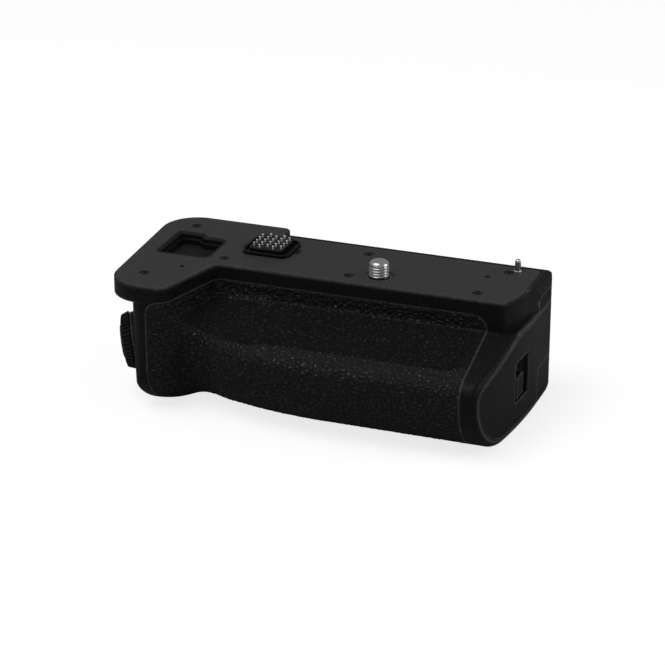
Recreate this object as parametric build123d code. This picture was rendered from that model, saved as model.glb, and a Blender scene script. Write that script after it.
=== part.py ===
from build123d import *
import math
import os

# Camera battery grip: screws under a camera and repeats its shutter controls for upright shooting.
# Origin: mouth of the tripod socket in the base, on the lens axis.
# +X runs to the battery door end, -Y is the front with the finger bulge, +Z is up to the camera.

# Overall sizes
body_height = 42.7
slab_thickness = 9.6
crease_z = body_height - slab_thickness
front_wall_y = -9.45
back_y = 28.8
rear_rim_y = 22.3
left_end_x = -71.2
right_end_x = 49.5
left_rim_x = -81.9
right_rim_x = 47.8
nose_y = -37.0
lobe_y = -35.05
skin_thickness = 1.2
overrun = 1.0
seam_gap = 0.1
running_clearance = 0.06
door_clearance = 0.25
button_clearance = 0.2

# Rim of the slab that meets the camera
rim_front_corner_x = 43.6
rim_end_bend_y = 0.0
rim_step_x = -40.4
lobe_left_x = -79.3
lobe_right_x = -59.0
inner_corner_x = -51.5
rim_front_corner_r = 2.4
rim_end_bend_r = 34.0
rim_rear_corner_r = 1.0
rim_step_r = 2.4
rim_rear_left_r = 11.7
lobe_left_r = 12.0
lobe_right_r = 4.5
inner_corner_r = 3.0
least_corner_r = 0.4
overhang_thickness = 5.4
rim_edge_r = 0.5

# Finger bulge, ledge and finger trough on the front
bulge_full_x = -10.0
bulge_bottom_r = 20.0
nose_top_r = 5.0
trough_slope_share = 0.488
trough_front_y = -29.4
trough_right_x = 34.0
trough_right_top_x = 37.2
trough_left_x = -41.0
trough_left_r = 9.0
trough_corner_r = 3.0
bulge_sections = 13
ledge_lift = 1.5
# Places along X where the bulge changes, as shares of the stretch from the left end to the full bulge
bulge_station_shares = (-0.06, 0.09, 0.165, 0.215, 0.27, 0.335, 0.43, 0.58, 0.8, 1.0)
# How far forward the nose stands there, as shares of the full nose
bulge_nose_shares = (0.946, 0.946, 0.944, 0.855, 0.752, 0.757, 0.838, 0.919, 0.981, 1.0)
# Height of the nose's top corner there, as shares of the crease height
bulge_top_shares = (1.039, 1.039, 1.039, 0.95, 0.83, 0.79, 0.782, 0.775, 0.767, 0.767)
bulge_top_radius_shares = (0.16, 0.16, 0.16, 0.4, 0.8, 0.95, 1.0, 1.0, 1.0, 1.0)
# Back edge of the ledge there, as shares of the lobe's front
bulge_ledge_shares = (0.94, 0.94, 0.94, 0.827, 0.437, 0.154, 0.116, 0.116, 0.116, 0.116)
# Radius under the nose there, as shares of the full radius
bulge_radius_shares = (0.8, 0.8, 0.8, 0.82, 0.85, 0.9, 0.95, 1.0, 1.0, 1.0)

# Ends, back and base of the lower body
end_curve_r = 205.0
end_curve_start_y = 12.0
end_edge_r = 2.2
end_edge_reach = 9.0
rear_corner_r = 4.5
left_draft = 2.4
left_bottom_r = 9.0
left_front_r = 5.6
back_bottom_r = 7.0
back_left_r = 8.0
shoulder_depth = back_y - rear_rim_y
shoulder_drop = 8.7
shoulder_front_y = -4.0

# Rubber skin round the bulge
skin_left_x = -64.75
skin_right_x = 38.3
skin_top_z = 37.7
skin_bottom_z = 1.6
skin_corner_r = 4.0

# Hollows inside the casing
cavity_left_x = -67.2
cavity_right_x = 42.8
cavity_front_y = -6.5
cavity_back_y = 25.6
cavity_floor_z = 2.4
cavity_top_z = crease_z
deck_thickness = 1.7
plate_thickness = 1.2
plate_inset = 1.6
deck_top_z = body_height - plate_thickness
deck_z = deck_top_z - deck_thickness
upper_cavity_left_x = -55.0
upper_cavity_back_y = 18.5
lobe_cavity_right_x = -60.5
lobe_cavity_front_y = -29.5
lobe_cavity_floor_z = 6.0
lobe_cavity_top_z = 32.0

# Screws that hold the top plate
plate_screw_head_r = 1.75
plate_screw_head_depth = 0.9
plate_screw_shank_r = 0.9
plate_screw_length = 2.9
screw_slot_depth = 0.45
screw_slot_share = 0.3
plate_screw_xs = (-70.8, -70.3, -51.3, -9.1, -8.9, 37.65, 33.4)
plate_screw_ys = (20.2, -23.3, -3.2, 16.0, -3.2, 16.4, -3.1)
dimple_x = -61.3
dimple_y = -14.1
dimple_r = 0.9

# Open pocket in the top, with its liner
pocket_left_x = -74.0
pocket_right_x = -56.7
pocket_front_y = -5.0
pocket_back_y = 11.8
pocket_step_x = -65.0
pocket_step_y = 14.0
pocket_floor_z = 38.7
pocket_corner_r = 2.5
pocket_small_r = 0.8
pocket_rim = 0.6
pocket_ledge_z = 40.7
pocket_ledge_width = 0.5
liner_thickness = 0.6

# Bare panel let into the top plate
panel_left_x = 5.0
panel_right_x = 34.2
panel_front_y = 1.3
panel_back_y = 19.9
panel_corner_r = 3.0
panel_thickness = 0.8
panel_hole_x = 32.3
panel_hole_y = 11.0
panel_hole_r = 1.0

# Contact block that plugs into the camera
connector_x = -40.05
connector_y = 9.7
connector_width = 16.0
connector_depth = 14.8
connector_corner_r = 3.0
connector_ear_width = 19.2
connector_ear_depth = 3.3
lip_width = 0.6
lip_rise = 1.1
lip_edge_r = 0.22
ear_rise = 0.2
block_width = 11.4
block_depth = 12.7
block_corner_r = 1.4
block_rise = 2.07
skirt_rise = 0.25
pin_r = 0.4
pin_bore_r = 0.47
pin_rise = 3.2
pin_length = 7.0
pin_travel = 0.8
pin_column_pitch = 2.33
pin_row_pitch = 2.54
pin_columns = 5
pins_in_short_column = 4

# Guide pin beside the door end
guide_pin_x = 39.8
guide_pin_y = 19.0
guide_pin_r = 0.97
guide_pin_rise = 4.0
guide_pin_root = 1.5
guide_pin_root_r = 1.3
guide_pin_root_rise = 0.1

# Camera screw on the lens axis, with the gear that turns it
screw_thread_r = 3.175
screw_rise = 5.2
screw_tip_r = 1.0
screw_neck_r = 2.6
screw_neck_rise = 0.1
screw_neck_bottom_z = 38.4
screw_flange_r = 3.7
screw_flange_thickness = 1.0
screw_hex_width = 5.0
screw_hex_bottom_z = 27.4
bushing_r = 5.2
bushing_collar_r = 4.4
bushing_bore_r = 3.4
bushing_sink = 0.2
gear_module = 0.8
gear_z = 27.7
gear_height = 3.8
gear_addendum_share = 0.75
gear_dedendum_share = 1.1
tooth_tip_share = 0.2
tooth_root_share = 0.42
screw_gear_teeth = 20
wheel_gear_teeth = 22
screw_gear_hub_r = 4.4
hex_clearance = 0.3
screw_spring_r = 3.4
screw_spring_wire_r = 0.25
screw_spring_turns = 3.0
bracket_z = 25.4
bracket_thickness = 2.0
bracket_half_width = 13.0
gear_pocket_clearance = 0.35

# Wheel behind the screw that the thumb turns
screw_gear_r = screw_gear_teeth * gear_module / 2
wheel_gear_r = wheel_gear_teeth * gear_module / 2
wheel_y = screw_gear_r + wheel_gear_r
wheel_r = 12.7
wheel_z = 35.2
wheel_thickness = 4.2
wheel_knurls = 60
wheel_knurl_depth = 0.5
wheel_hub_r = 4.6
wheel_slot_gap = 0.35
axle_r = 1.5
axle_top = 0.8
clip_r = 2.6
clip_thickness = 0.6

# Tripod socket in the base
socket_thread_r = 3.175
socket_barrel_r = 5.0
socket_flange_r = 6.4
socket_flange_thickness = 1.0
socket_height = 5.2
socket_hole_depth = 4.6

# Cover on the base
base_cover_left_x = -44.0
base_cover_right_x = 41.0
base_cover_front_y = -11.0
base_cover_back_y = 21.0
base_cover_thickness = 2.0
base_cover_corner_r = 3.0
base_land = 4.4
base_screw_inset = 3.2
base_screw_head_r = 1.9
base_screw_head_depth = 0.9
base_screw_shank_r = 0.9
base_screw_length = 4.4
base_boss_r = 2.3
base_boss_top_z = 5.1

# Cover on the back, with its screws
rear_cover_left_x = -62.5
rear_cover_right_x = 38.0
rear_cover_bottom_z = 8.0
rear_cover_top_z = 31.0
rear_cover_thickness = 1.4
rear_cover_corner_r = 2.5
rear_opening_left_x = -58.9
rear_opening_step_x = -16.0
rear_opening_right_x = 33.5
rear_opening_bottom_z = 10.6
rear_opening_top_z = 28.4
rear_opening_low_top_z = 24.8
rear_screw_inset = 2.2
rear_screw_head_r = 1.4
rear_screw_head_depth = 0.7
rear_screw_shank_r = 0.7
rear_screw_length = 3.0

# Battery and the box that guides it
battery_length = 47.8
battery_end_gap = 0.8
battery_front_y = -22.5
battery_width = 33.2
battery_bottom_z = 6.6
battery_thickness = 15.0
battery_corner_r = 2.5
battery_clearance = 0.3
box_wall = 0.8
contact_block_length = 3.4
contact_block_y = 2.5
contact_block_width = 14.0
contact_block_height = 8.0
contact_blades = 4
contact_blade_share = 0.3
flex_width = 8.0
flex_inset = 1.0
flex_thickness = 0.3

# Battery door, hinged on the rear corner of the end
door_thickness = 1.8
door_inset = 2.6
door_top_z = 31.9
door_bottom_z = 2.4
door_bend_y = -7.0
door_nose_y = -34.4
door_nose_top_z = 23.2
door_nose_top_r = 4.0
door_nose_bottom_r = 17.5
hinge_block_front_y = 11.2
hinge_block_top_z = 13.3
hinge_pin_r = 0.8
hinge_pin_bottom_z = 4.0
hinge_pin_top_z = 36.0

# Latch that slides in the door
latch_recess_front_y = -9.8
latch_recess_back_y = 1.2
latch_recess_bottom_z = 10.2
latch_recess_top_z = 23.7
latch_boss_inner_x = 44.4
latch_boss_floor_x = 45.2
latch_slider_x = 45.5
latch_slider_thickness = 0.6
latch_window_x = 46.4
latch_boss_outer_x = 47.2
latch_boss_front_y = -11.0
latch_boss_back_y = 2.4
latch_boss_bottom_z = 8.0
latch_boss_top_z = 30.6
latch_slider_front_y = -7.9
latch_slider_back_y = -0.7
latch_slider_bottom_z = 9.0
latch_travel = 4.5
latch_knob_outer_x = 48.2
latch_knob_bottom_z = 10.7
latch_knob_height = 7.0
latch_knob_edge = 0.3
latch_hook_front_y = -5.3
latch_hook_back_y = -3.3
latch_hook_inner_x = 41.3
latch_hook_finger_x = 42.4
latch_hook_bottom_z = 23.4
latch_hook_arm_top_z = 25.2
latch_hook_top_z = 27.4
latch_hook_gap = 0.6
latch_gap = 0.3

# Flap over the outlet for a power cord
flap_front_y = 11.8
flap_back_y = 23.0
flap_bottom_z = 32.6
flap_top_z = 36.9
flap_outer_x = 49.4
flap_thickness = 1.3
flap_pin_r = 0.35
flap_pin_reach = 1.2
outlet_front_y = 14.0
outlet_back_y = 18.2
outlet_bottom_z = 33.3
outlet_top_z = 35.4

# Front dial and shutter button on the left end, on one slanted axis
dial_x = -75.6
dial_y = -22.0
dial_z = 18.3
dial_yaw = 23.0
dial_pitch = 7.3
dial_inner_r = 9.5
dial_outer_r = 8.4
dial_thickness = 3.0
dial_knurls = 42
dial_knurl_depth = 0.6
dial_gap = 0.35
dial_core_r = 6.2
dial_core_rise = 2.6
collar_r = 9.0
collar_reach = 14.0
shutter_bore_r = 5.4
shutter_bore_depth = 3.4
shutter_cap_r = 5.2
shutter_cap_bottom = 0.2
shutter_cap_top = 3.5
shutter_stem_r = 1.2
shutter_stem_length = 1.0
shutter_travel = 1.0
shutter_dish_r = 14.0
shutter_dish_depth = 0.45
switch_size = 3.0
switch_gap = 0.25

# Button and lock lever on the left end
end_button_y = -4.0
end_button_z = 14.0
end_button_r = 3.0
end_button_outer_x = -70.8
end_button_flange_r = 3.8
end_button_flange_thickness = 0.7
end_button_stem_r = 1.0
end_button_stem_length = 1.4
end_button_travel = 0.5
end_board_thickness = 1.2
end_board_front_y = -11.0
end_board_back_y = 3.0
end_board_bottom_z = 7.0
end_board_top_z = 21.0
end_board_switch_height = 0.9
board_post_r = 1.4
board_post_inset = 2.0
lever_y = 12.0
lever_z = 17.0
lever_seat_r = 7.8
lever_seat_x = -69.3
lever_disc_r = 7.5
lever_disc_thickness = 1.2
lever_grip_width = 3.0
lever_grip_rise = 0.9
lever_grip_share = 0.86
lever_shaft_r = 1.8
lever_shaft_reach = 1.4
lever_clip_r = 3.4
lever_clip_thickness = 0.6

# Rear dial, buttons, joystick and thumb pad on the back
rear_dial_y = 21.4
rear_dial_z = 19.0
rear_dial_r = 8.0
rear_dial_left_x = -56.5
rear_dial_width = 5.0
rear_dial_knurls = 40
rear_dial_knurl_depth = 0.4
rear_dial_axle_r = 1.0
rear_dial_gap = 0.4
cheek_thickness = 1.4
cheek_half_height = 2.6
focus_button_x = -43.0
focus_button_z = 23.6
focus_button_r = 3.8
function_button_x = -31.5
function_button_z = 23.6
function_button_r = 2.6
rear_button_rise = 0.9
rear_button_flange = 0.7
rear_button_flange_thickness = 0.7
rear_button_travel = 0.5
rear_button_stem_r = 1.0
rear_board_y = 21.0
rear_board_thickness = 1.2
rear_board_left_x = -48.8
rear_board_right_x = -27.0
rear_board_bottom_z = 11.0
rear_board_top_z = 28.2
rear_switch_height = 1.5
rear_post_x = -36.0
rear_post_z = 16.5
stick_x = -42.0
stick_z = 14.6
stick_pivot_y = 25.2
stick_r = 1.0
stick_cap_r = 2.8
stick_cap_y = 29.4
stick_cap_thickness = 1.0
stick_hole_r = 2.0
stick_ball_r = 1.35
ring_outer_r = 2.6
ring_inner_r = 1.7
ring_half_thickness = 0.7
ring_pin_r = 0.35
stick_base_half = 3.6
stick_base_bore_r = 3.1
thumb_pad_left_x = -24.0
thumb_pad_right_x = 12.0
thumb_pad_bottom_z = 11.0
thumb_pad_top_z = 28.0
thumb_pad_corner_r = 5.0
thumb_pad_thickness = 1.2
thumb_pad_sink = 0.6

# Main circuit board under the slab
board_left_x = -64.0
board_right_x = -14.5
board_front_y = -6.2
board_back_y = 25.2
board_thickness = 1.2
chip_height = 1.2
chip_places_share = (0.25, 0.5, 0.75)
chip_size = 6.0
board_screw_r = 0.7
board_screw_head_r = 1.4
board_screw_head_height = 0.8
board_screw_length = 3.0
board_screw_inset = 3.0


def rounded_face(corners):
    points = [(x, y) for x, y, radius in corners]
    radii = [radius for x, y, radius in corners]
    return make_face(FilletPolyline(*points, radius=radii, close=True))


def inset_corners(corners, inset):
    # Corners of an outline, listed counter-clockwise, moved inwards with their radii kept parallel
    moved = []
    count = len(corners)
    for index in range(count):
        x, y, radius = corners[index]
        before_x, before_y, before_r = corners[index - 1]
        after_x, after_y, after_r = corners[(index + 1) % count]
        length_in = math.hypot(x - before_x, y - before_y)
        length_out = math.hypot(after_x - x, after_y - y)
        in_x, in_y = (x - before_x) / length_in, (y - before_y) / length_in
        out_x, out_y = (after_x - x) / length_out, (after_y - y) / length_out
        spread = 1 + in_x * out_x + in_y * out_y
        convex = in_x * out_y - in_y * out_x > 0
        new_radius = radius - inset if convex else radius + inset
        shift_x = -inset * (in_y + out_y) / spread
        shift_y = inset * (in_x + out_x) / spread
        kept_r = max(new_radius, least_corner_r) if radius > 0 else 0
        moved.append((x + shift_x, y + shift_y, kept_r))
    return moved


def rectangle_corners(x_low, x_high, y_low, y_high, radius):
    return [(x_low, y_low, radius), (x_high, y_low, radius),
            (x_high, y_high, radius), (x_low, y_high, radius)]


def across(x):
    # Plane across the length, with its own axes along +Y and +Z
    return Plane(origin=(x, 0, 0), x_dir=(0, 1, 0), z_dir=(1, 0, 0))


def upright(y):
    # Plane along the length, with its own axes along +X and +Z
    return Plane(origin=(0, y, 0), x_dir=(1, 0, 0), z_dir=(0, -1, 0))


def prism_along_x(face, x_low, x_high):
    return extrude(across(x_low) * face, x_high - x_low, dir=(1, 0, 0))


def prism_along_y(face, y_low, y_high):
    return extrude(upright(y_low) * face, y_high - y_low, dir=(0, 1, 0))


def prism_up(face, z_low, z_high):
    return extrude(Pos(0, 0, z_low) * face, z_high - z_low, dir=(0, 0, 1))


def block(x_low, x_high, y_low, y_high, z_low, z_high):
    centre = ((x_low + x_high) / 2, (y_low + y_high) / 2, (z_low + z_high) / 2)
    return Pos(*centre) * Box(x_high - x_low, y_high - y_low, z_high - z_low)


def rod_x(y, z, radius, x_low, x_high):
    return prism_along_x(Pos(y, z) * Circle(radius), x_low, x_high)


def rod_y(x, z, radius, y_low, y_high):
    return prism_along_y(Pos(x, z) * Circle(radius), y_low, y_high)


def rod_z(x, y, radius, z_low, z_high):
    return prism_up(Pos(x, y) * Circle(radius), z_low, z_high)


def domed_rod_z(x, y, radius, z_low, z_high):
    # Upright pin whose top is a half ball
    return rod_z(x, y, radius, z_low, z_high - radius) + Pos(x, y, z_high - radius) * Sphere(radius)


def group(pieces):
    # Separate solids kept in one node
    return Compound(children=[solid for piece in pieces for solid in piece.solids()])


def star_face(tip_r, root_r, count, tip_share, root_share):
    # Round face with straight teeth, each a share of its pitch wide at the tip and at the root
    points = []
    pitch = 2 * math.pi / count
    for index in range(count):
        middle = index * pitch
        for radius, turn in ((root_r, -root_share / 2), (tip_r, -tip_share / 2),
                             (tip_r, tip_share / 2), (root_r, root_share / 2)):
            angle = middle + turn * pitch
            points.append((radius * math.cos(angle), radius * math.sin(angle)))
    return make_face(Polyline(*points, close=True))


def gear_face(teeth):
    pitch_r = teeth * gear_module / 2
    tip_r = pitch_r + gear_addendum_share * gear_module
    root_r = pitch_r - gear_dedendum_share * gear_module
    return star_face(tip_r, root_r, teeth, tooth_tip_share, tooth_root_share)


def screw_down(x, y, top, head_r, head_depth, shank_r, length):
    # Screw driven downwards, with a cross slot in its head
    slot_depth = screw_slot_depth
    slot_width = screw_slot_share * head_r
    half_slot = slot_width / 2
    slot_reach = head_r - slot_width
    slot_floor = top - slot_depth
    head = rod_z(x, y, head_r, top - head_depth, top)
    shank = rod_z(x, y, shank_r, top - length, top - head_depth)
    slots = block(x - slot_reach, x + slot_reach, y - half_slot, y + half_slot, slot_floor, top)
    slots += block(x - half_slot, x + half_slot, y - slot_reach, y + slot_reach, slot_floor, top)
    return head + shank - slots


def screw_up(x, y, bottom, head_r, head_depth, shank_r, length):
    # The same screw driven upwards from a face that looks down
    screw = screw_down(0, 0, 0, head_r, head_depth, shank_r, length)
    return Pos(x, y, bottom) * Rot(180, 0, 0) * screw


def screw_forward(x, z, back, head_r, head_depth, shank_r, length):
    # The same screw driven towards the front from a face that looks back
    screw = screw_down(0, 0, 0, head_r, head_depth, shank_r, length)
    return Pos(x, back, z) * Rot(-90, 0, 0) * screw


def rim_corners():
    # Outline of the slab that meets the camera
    return [
        (rim_front_corner_x, front_wall_y, rim_front_corner_r),
        (right_rim_x, rim_end_bend_y, rim_end_bend_r),
        (right_rim_x, rear_rim_y, rim_rear_corner_r),
        (rim_step_x, rear_rim_y, rim_step_r),
        (rim_step_x, back_y, rim_step_r),
        (left_rim_x, back_y, rim_rear_left_r),
        (lobe_left_x, lobe_y, lobe_left_r),
        (lobe_right_x, lobe_y, lobe_right_r),
        (inner_corner_x, front_wall_y, inner_corner_r),
    ]


def rim_outline(inset):
    return rounded_face(inset_corners(rim_corners(), inset))


def body_section(inset, nose, nose_top, top_radius, ledge_y, bottom_radius):
    top = crease_z + ledge_lift
    corners = [
        (back_y, inset, back_bottom_r),
        (nose + inset, inset, bottom_radius - inset),
        (nose + inset, nose_top - inset, top_radius),
        (ledge_y + inset, top - inset, 0),
        (back_y, top - inset, 0),
    ]
    return rounded_face(corners)


def slope_at(places, values, index):
    # Slope of a curve through the values that never overshoots them
    if index in (0, len(places) - 1):
        return 0.0
    before = (values[index] - values[index - 1]) / (places[index] - places[index - 1])
    after = (values[index + 1] - values[index]) / (places[index + 1] - places[index])
    if before * after <= 0:
        return 0.0
    return 2 * before * after / (before + after)


def value_at(places, values, place):
    index = 0
    while index < len(places) - 2 and place > places[index + 1]:
        index += 1
    span = places[index + 1] - places[index]
    step = (place - places[index]) / span
    start = slope_at(places, values, index) * span
    end = slope_at(places, values, index + 1) * span
    rise = values[index + 1] - values[index]
    bend = 3 * rise - 2 * start - end
    twist = start + end - 2 * rise
    return values[index] + start * step + bend * step**2 + twist * step**3


def bulge_start(inset):
    # The left part of the lower body: lobe, waist and the growing finger bulge
    places = bulge_station_shares
    stretch = bulge_full_x - left_end_x
    first = places[0]
    sections = []
    for index in range(bulge_sections):
        place = first + (1 - first) * index / (bulge_sections - 1)
        face = body_section(
            inset,
            value_at(places, bulge_nose_shares, place) * nose_y,
            value_at(places, bulge_top_shares, place) * crease_z,
            value_at(places, bulge_top_radius_shares, place) * nose_top_r,
            value_at(places, bulge_ledge_shares, place) * lobe_y,
            value_at(places, bulge_radius_shares, place) * bulge_bottom_r,
        )
        sections.append(across(left_end_x + place * stretch) * face)
    return loft(sections)


def bulge_run(inset):
    nose_top = bulge_top_shares[-1] * crease_z
    ledge_y = bulge_ledge_shares[-1] * lobe_y
    face = body_section(inset, nose_y, nose_top, nose_top_r, ledge_y, bulge_bottom_r)
    return prism_along_x(face, bulge_full_x, right_end_x + overrun)


def end_dip(y):
    # How far the rounded end falls back from its rear part
    return end_curve_r - math.sqrt(end_curve_r**2 - (end_curve_start_y - y)**2)


def end_layer(outer_depth, inner_depth):
    # Everything between two copies of the rounded end, moved inwards by the two depths
    reach = nose_y - bulge_bottom_r
    half = (end_curve_start_y + reach) / 2
    outer_x = right_end_x - outer_depth
    inner_x = right_end_x - inner_depth
    outer_front = (outer_x - end_dip(reach), reach)
    inner_front = (inner_x - end_dip(reach), reach)
    back = back_y + overrun
    path = [
        Line((outer_x, back), (outer_x, end_curve_start_y)),
        ThreePointArc((outer_x, end_curve_start_y), (outer_x - end_dip(half), half), outer_front),
        Line(outer_front, inner_front),
        ThreePointArc(inner_front, (inner_x - end_dip(half), half), (inner_x, end_curve_start_y)),
        Line((inner_x, end_curve_start_y), (inner_x, back)),
        Line((inner_x, back), (outer_x, back)),
    ]
    return prism_up(make_face(path), -overrun, body_height + overrun)


def plan_limit():
    # Plan of the lower body: square at the back, rounded at the door end and at the left
    right = end_layer(0, right_end_x - bulge_full_x)
    behind = block(left_rim_x, right_end_x + overrun, back_y, back_y + 2 * overrun,
                   -overrun, body_height + overrun)
    corners = [
        (bulge_full_x + overrun, nose_y - overrun, 0),
        (bulge_full_x + overrun, back_y, 0),
        (left_end_x, back_y, back_left_r),
        (left_end_x, lobe_y, left_front_r),
        (bulge_full_x - bulge_bottom_r, lobe_y, 0),
        (bulge_full_x - bulge_bottom_r, nose_y - overrun, 0),
    ]
    left = prism_up(rounded_face(corners[::-1]), -overrun, body_height + overrun)
    return right - behind + left


def left_limit():
    corners = [
        (left_end_x, crease_z, 0),
        (left_end_x + left_draft, 0, left_bottom_r),
        (right_end_x + overrun, 0, 0),
        (right_end_x + overrun, crease_z, 0),
    ]
    return prism_along_y(rounded_face(corners), nose_y - overrun, back_y + overrun)


def rear_corner_limit(z_low):
    corners = [
        (left_rim_x, nose_y - overrun, 0),
        (right_end_x, nose_y - overrun, 0),
        (right_end_x, back_y, rear_corner_r),
        (left_rim_x, back_y, 0),
    ]
    return prism_up(rounded_face(corners), z_low, body_height)


def rear_shoulder():
    bend = math.sqrt(0.5)
    shoulder_base = body_height - shoulder_drop
    side_path = [
        Line((shoulder_front_y, crease_z), (back_y, crease_z)),
        Line((back_y, crease_z), (back_y, shoulder_base)),
        ThreePointArc((back_y, shoulder_base),
                      (rear_rim_y + bend * shoulder_depth, shoulder_base + bend * shoulder_drop),
                      (rear_rim_y, body_height)),
        Line((rear_rim_y, body_height), (shoulder_front_y, body_height)),
        Line((shoulder_front_y, body_height), (shoulder_front_y, crease_z)),
    ]
    side = prism_along_x(make_face(side_path), rim_step_x, right_end_x)
    spread = right_end_x - right_rim_x
    end_path = [
        Line((rim_step_x, crease_z), (right_end_x, crease_z)),
        Line((right_end_x, crease_z), (right_end_x, shoulder_base)),
        ThreePointArc((right_end_x, shoulder_base),
                      (right_rim_x + bend * spread, shoulder_base + bend * shoulder_drop),
                      (right_rim_x, body_height)),
        Line((right_rim_x, body_height), (rim_step_x, body_height)),
        Line((rim_step_x, body_height), (rim_step_x, crease_z)),
    ]
    end = prism_along_y(make_face(end_path), shoulder_front_y, back_y)
    start_x = right_rim_x - (right_rim_x - rim_front_corner_x) / 2
    corners = [
        (rim_step_x, shoulder_front_y, 0),
        (start_x, shoulder_front_y, 0),
        (right_end_x, end_curve_start_y, 0),
        (right_end_x, back_y, rear_corner_r),
        (rim_step_x, back_y, 0),
    ]
    return side & end & prism_up(rounded_face(corners), crease_z, body_height)


def slab():
    # Slab under the camera; left of the body it is thinner and overhangs
    overhang_z = body_height - overhang_thickness
    neck = prism_up(rim_outline(0), crease_z, overhang_z) & plan_limit()
    plate = prism_up(rim_outline(0), overhang_z, body_height)
    # The rim's top edge is rounded, except at the back where the shoulder meets it
    rim = [edge for edge in plate.faces().sort_by(Axis.Z)[-1].edges()
           if abs(edge.center().Y - rear_rim_y) > rim_rear_corner_r / 2 or edge.center().X < rim_step_x]
    return fillet(rim, rim_edge_r) + neck


def trough(inset):
    # Hollow for the finger tips, cut into the ledge from the slab's front wall to behind the nose
    back = front_wall_y + inset
    front = trough_front_y - inset
    floor_top = crease_z - inset * math.sqrt(1 + trough_slope_share**2)
    floor_front = floor_top - trough_slope_share * (front_wall_y - front)
    corners = [
        (trough_right_top_x + inset, back, 0),
        (inner_corner_x + inner_corner_r / 2 - inset, back, 0),
        (trough_left_x - inset, front, trough_left_r + inset),
        (trough_right_x + inset, front, trough_corner_r + inset),
    ]
    plan = prism_up(rounded_face(corners), 0, crease_z + overrun)
    profile = make_face(Polyline((back, floor_top), (back, crease_z + overrun),
                                 (front, crease_z + overrun), (front, floor_front), close=True))
    return plan & prism_along_x(profile, left_end_x, right_end_x)


def end_edges(body):
    # Edges round the door end, without the one that the slab covers
    chosen = []
    for edge in body.edges():
        box = edge.bounding_box()
        near_end = box.min.X > right_end_x - end_edge_reach and box.max.X < right_end_x + seam_gap
        if near_end and (box.max.Z < crease_z - seam_gap or box.max.Z - box.min.Z > seam_gap):
            chosen.append(edge)
    return chosen


def grip_form():
    # Whole outer form of the closed grip
    lower = (bulge_start(0) + bulge_run(0)) & plan_limit() & left_limit()
    lower = fillet(end_edges(lower), end_edge_r) & rear_corner_limit(0)
    return lower + slab() + rear_shoulder() - trough(0)


def skin_core():
    # What lies under the rubber skin
    inner = bulge_start(skin_thickness) + bulge_run(skin_thickness)
    inner_slab = prism_up(rim_outline(skin_thickness), crease_z - 2 * skin_thickness, body_height)
    return inner + inner_slab - trough(skin_thickness)


def grip_skin(form):
    corners = [
        (skin_left_x, skin_bottom_z, 0),
        (skin_right_x, skin_bottom_z, 0),
        (skin_right_x, skin_top_z, skin_corner_r),
        (skin_left_x, skin_top_z, skin_corner_r),
    ]
    window = prism_along_y(rounded_face(corners), nose_y - overrun, cavity_front_y)
    return form & window - skin_core()


def wheel_slot():
    return rod_z(0, wheel_y, wheel_r + wheel_slot_gap, wheel_z - wheel_slot_gap, deck_z)


def casing_hollows():
    hollows = block(cavity_left_x, cavity_right_x, cavity_front_y, cavity_back_y,
                    cavity_floor_z, cavity_top_z)
    hollows += block(upper_cavity_left_x, cavity_right_x, cavity_front_y, upper_cavity_back_y,
                     cavity_top_z - overrun, deck_z)
    hollows += block(cavity_left_x, lobe_cavity_right_x, lobe_cavity_front_y, cavity_front_y + overrun,
                     lobe_cavity_floor_z, lobe_cavity_top_z)
    hollows += block(box_left_x - battery_clearance, cavity_right_x, box_front_y - battery_clearance,
                     cavity_front_y + overrun, box_bottom_z, box_top_z + battery_clearance)
    gear_tip = gear_addendum_share * gear_module + gear_pocket_clearance
    low, high = gear_z - gear_pocket_clearance, gear_z + gear_height + gear_pocket_clearance
    hollows += rod_z(0, 0, screw_gear_r + gear_tip, low, high)
    hollows += rod_z(0, wheel_y, wheel_gear_r + gear_tip, low, high)
    hollows += rod_z(0, wheel_y, wheel_hub_r + wheel_slot_gap, cavity_top_z - overrun, wheel_z)
    return hollows + wheel_slot()


def base_opening():
    recess = rounded_face(rectangle_corners(base_cover_left_x, base_cover_right_x, base_cover_front_y,
                                            base_cover_back_y, base_cover_corner_r))
    opening = block(base_cover_left_x + base_land, base_cover_right_x - base_land,
                    base_cover_front_y + base_land, base_cover_back_y - base_land,
                    0, cavity_floor_z + overrun)
    return prism_up(recess, -overrun, base_cover_thickness) + opening


def rear_opening():
    recess = rounded_face(rectangle_corners(rear_cover_left_x, rear_cover_right_x, rear_cover_bottom_z,
                                            rear_cover_top_z, rear_cover_corner_r))
    cuts = prism_along_y(recess, rear_cover_y, back_y + overrun)
    cuts += block(rear_opening_left_x, rear_opening_step_x, cavity_back_y - overrun, back_y,
                  rear_opening_bottom_z, rear_opening_top_z)
    cuts += block(rear_opening_step_x - overrun, rear_opening_right_x, cavity_back_y - overrun, back_y,
                  rear_opening_bottom_z, rear_opening_low_top_z)
    return cuts


def base_screw_places():
    xs = (base_cover_left_x + base_screw_inset, base_cover_right_x - base_screw_inset)
    ys = (base_cover_front_y + base_screw_inset, base_cover_back_y - base_screw_inset)
    return [(x, y) for x in xs for y in ys]


def rear_screw_places():
    xs = (rear_cover_left_x + rear_screw_inset, rear_cover_right_x - rear_screw_inset)
    zs = (rear_cover_bottom_z + rear_screw_inset, rear_cover_top_z - rear_screw_inset)
    return [(x, z) for x in xs for z in zs]


def plate_screw_places():
    return list(zip(plate_screw_xs, plate_screw_ys))


def board_screw_places():
    y = board_back_y - board_screw_inset
    return [(board_left_x + board_screw_inset, y), (board_right_x - board_screw_inset, y)]


def end_post_places():
    y_low, y_high = end_board_front_y + board_post_inset, end_board_back_y - board_post_inset
    z_low, z_high = end_board_bottom_z + board_post_inset, end_board_top_z - board_post_inset
    return [(y_low, z_low), (y_high, z_high)]


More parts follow.
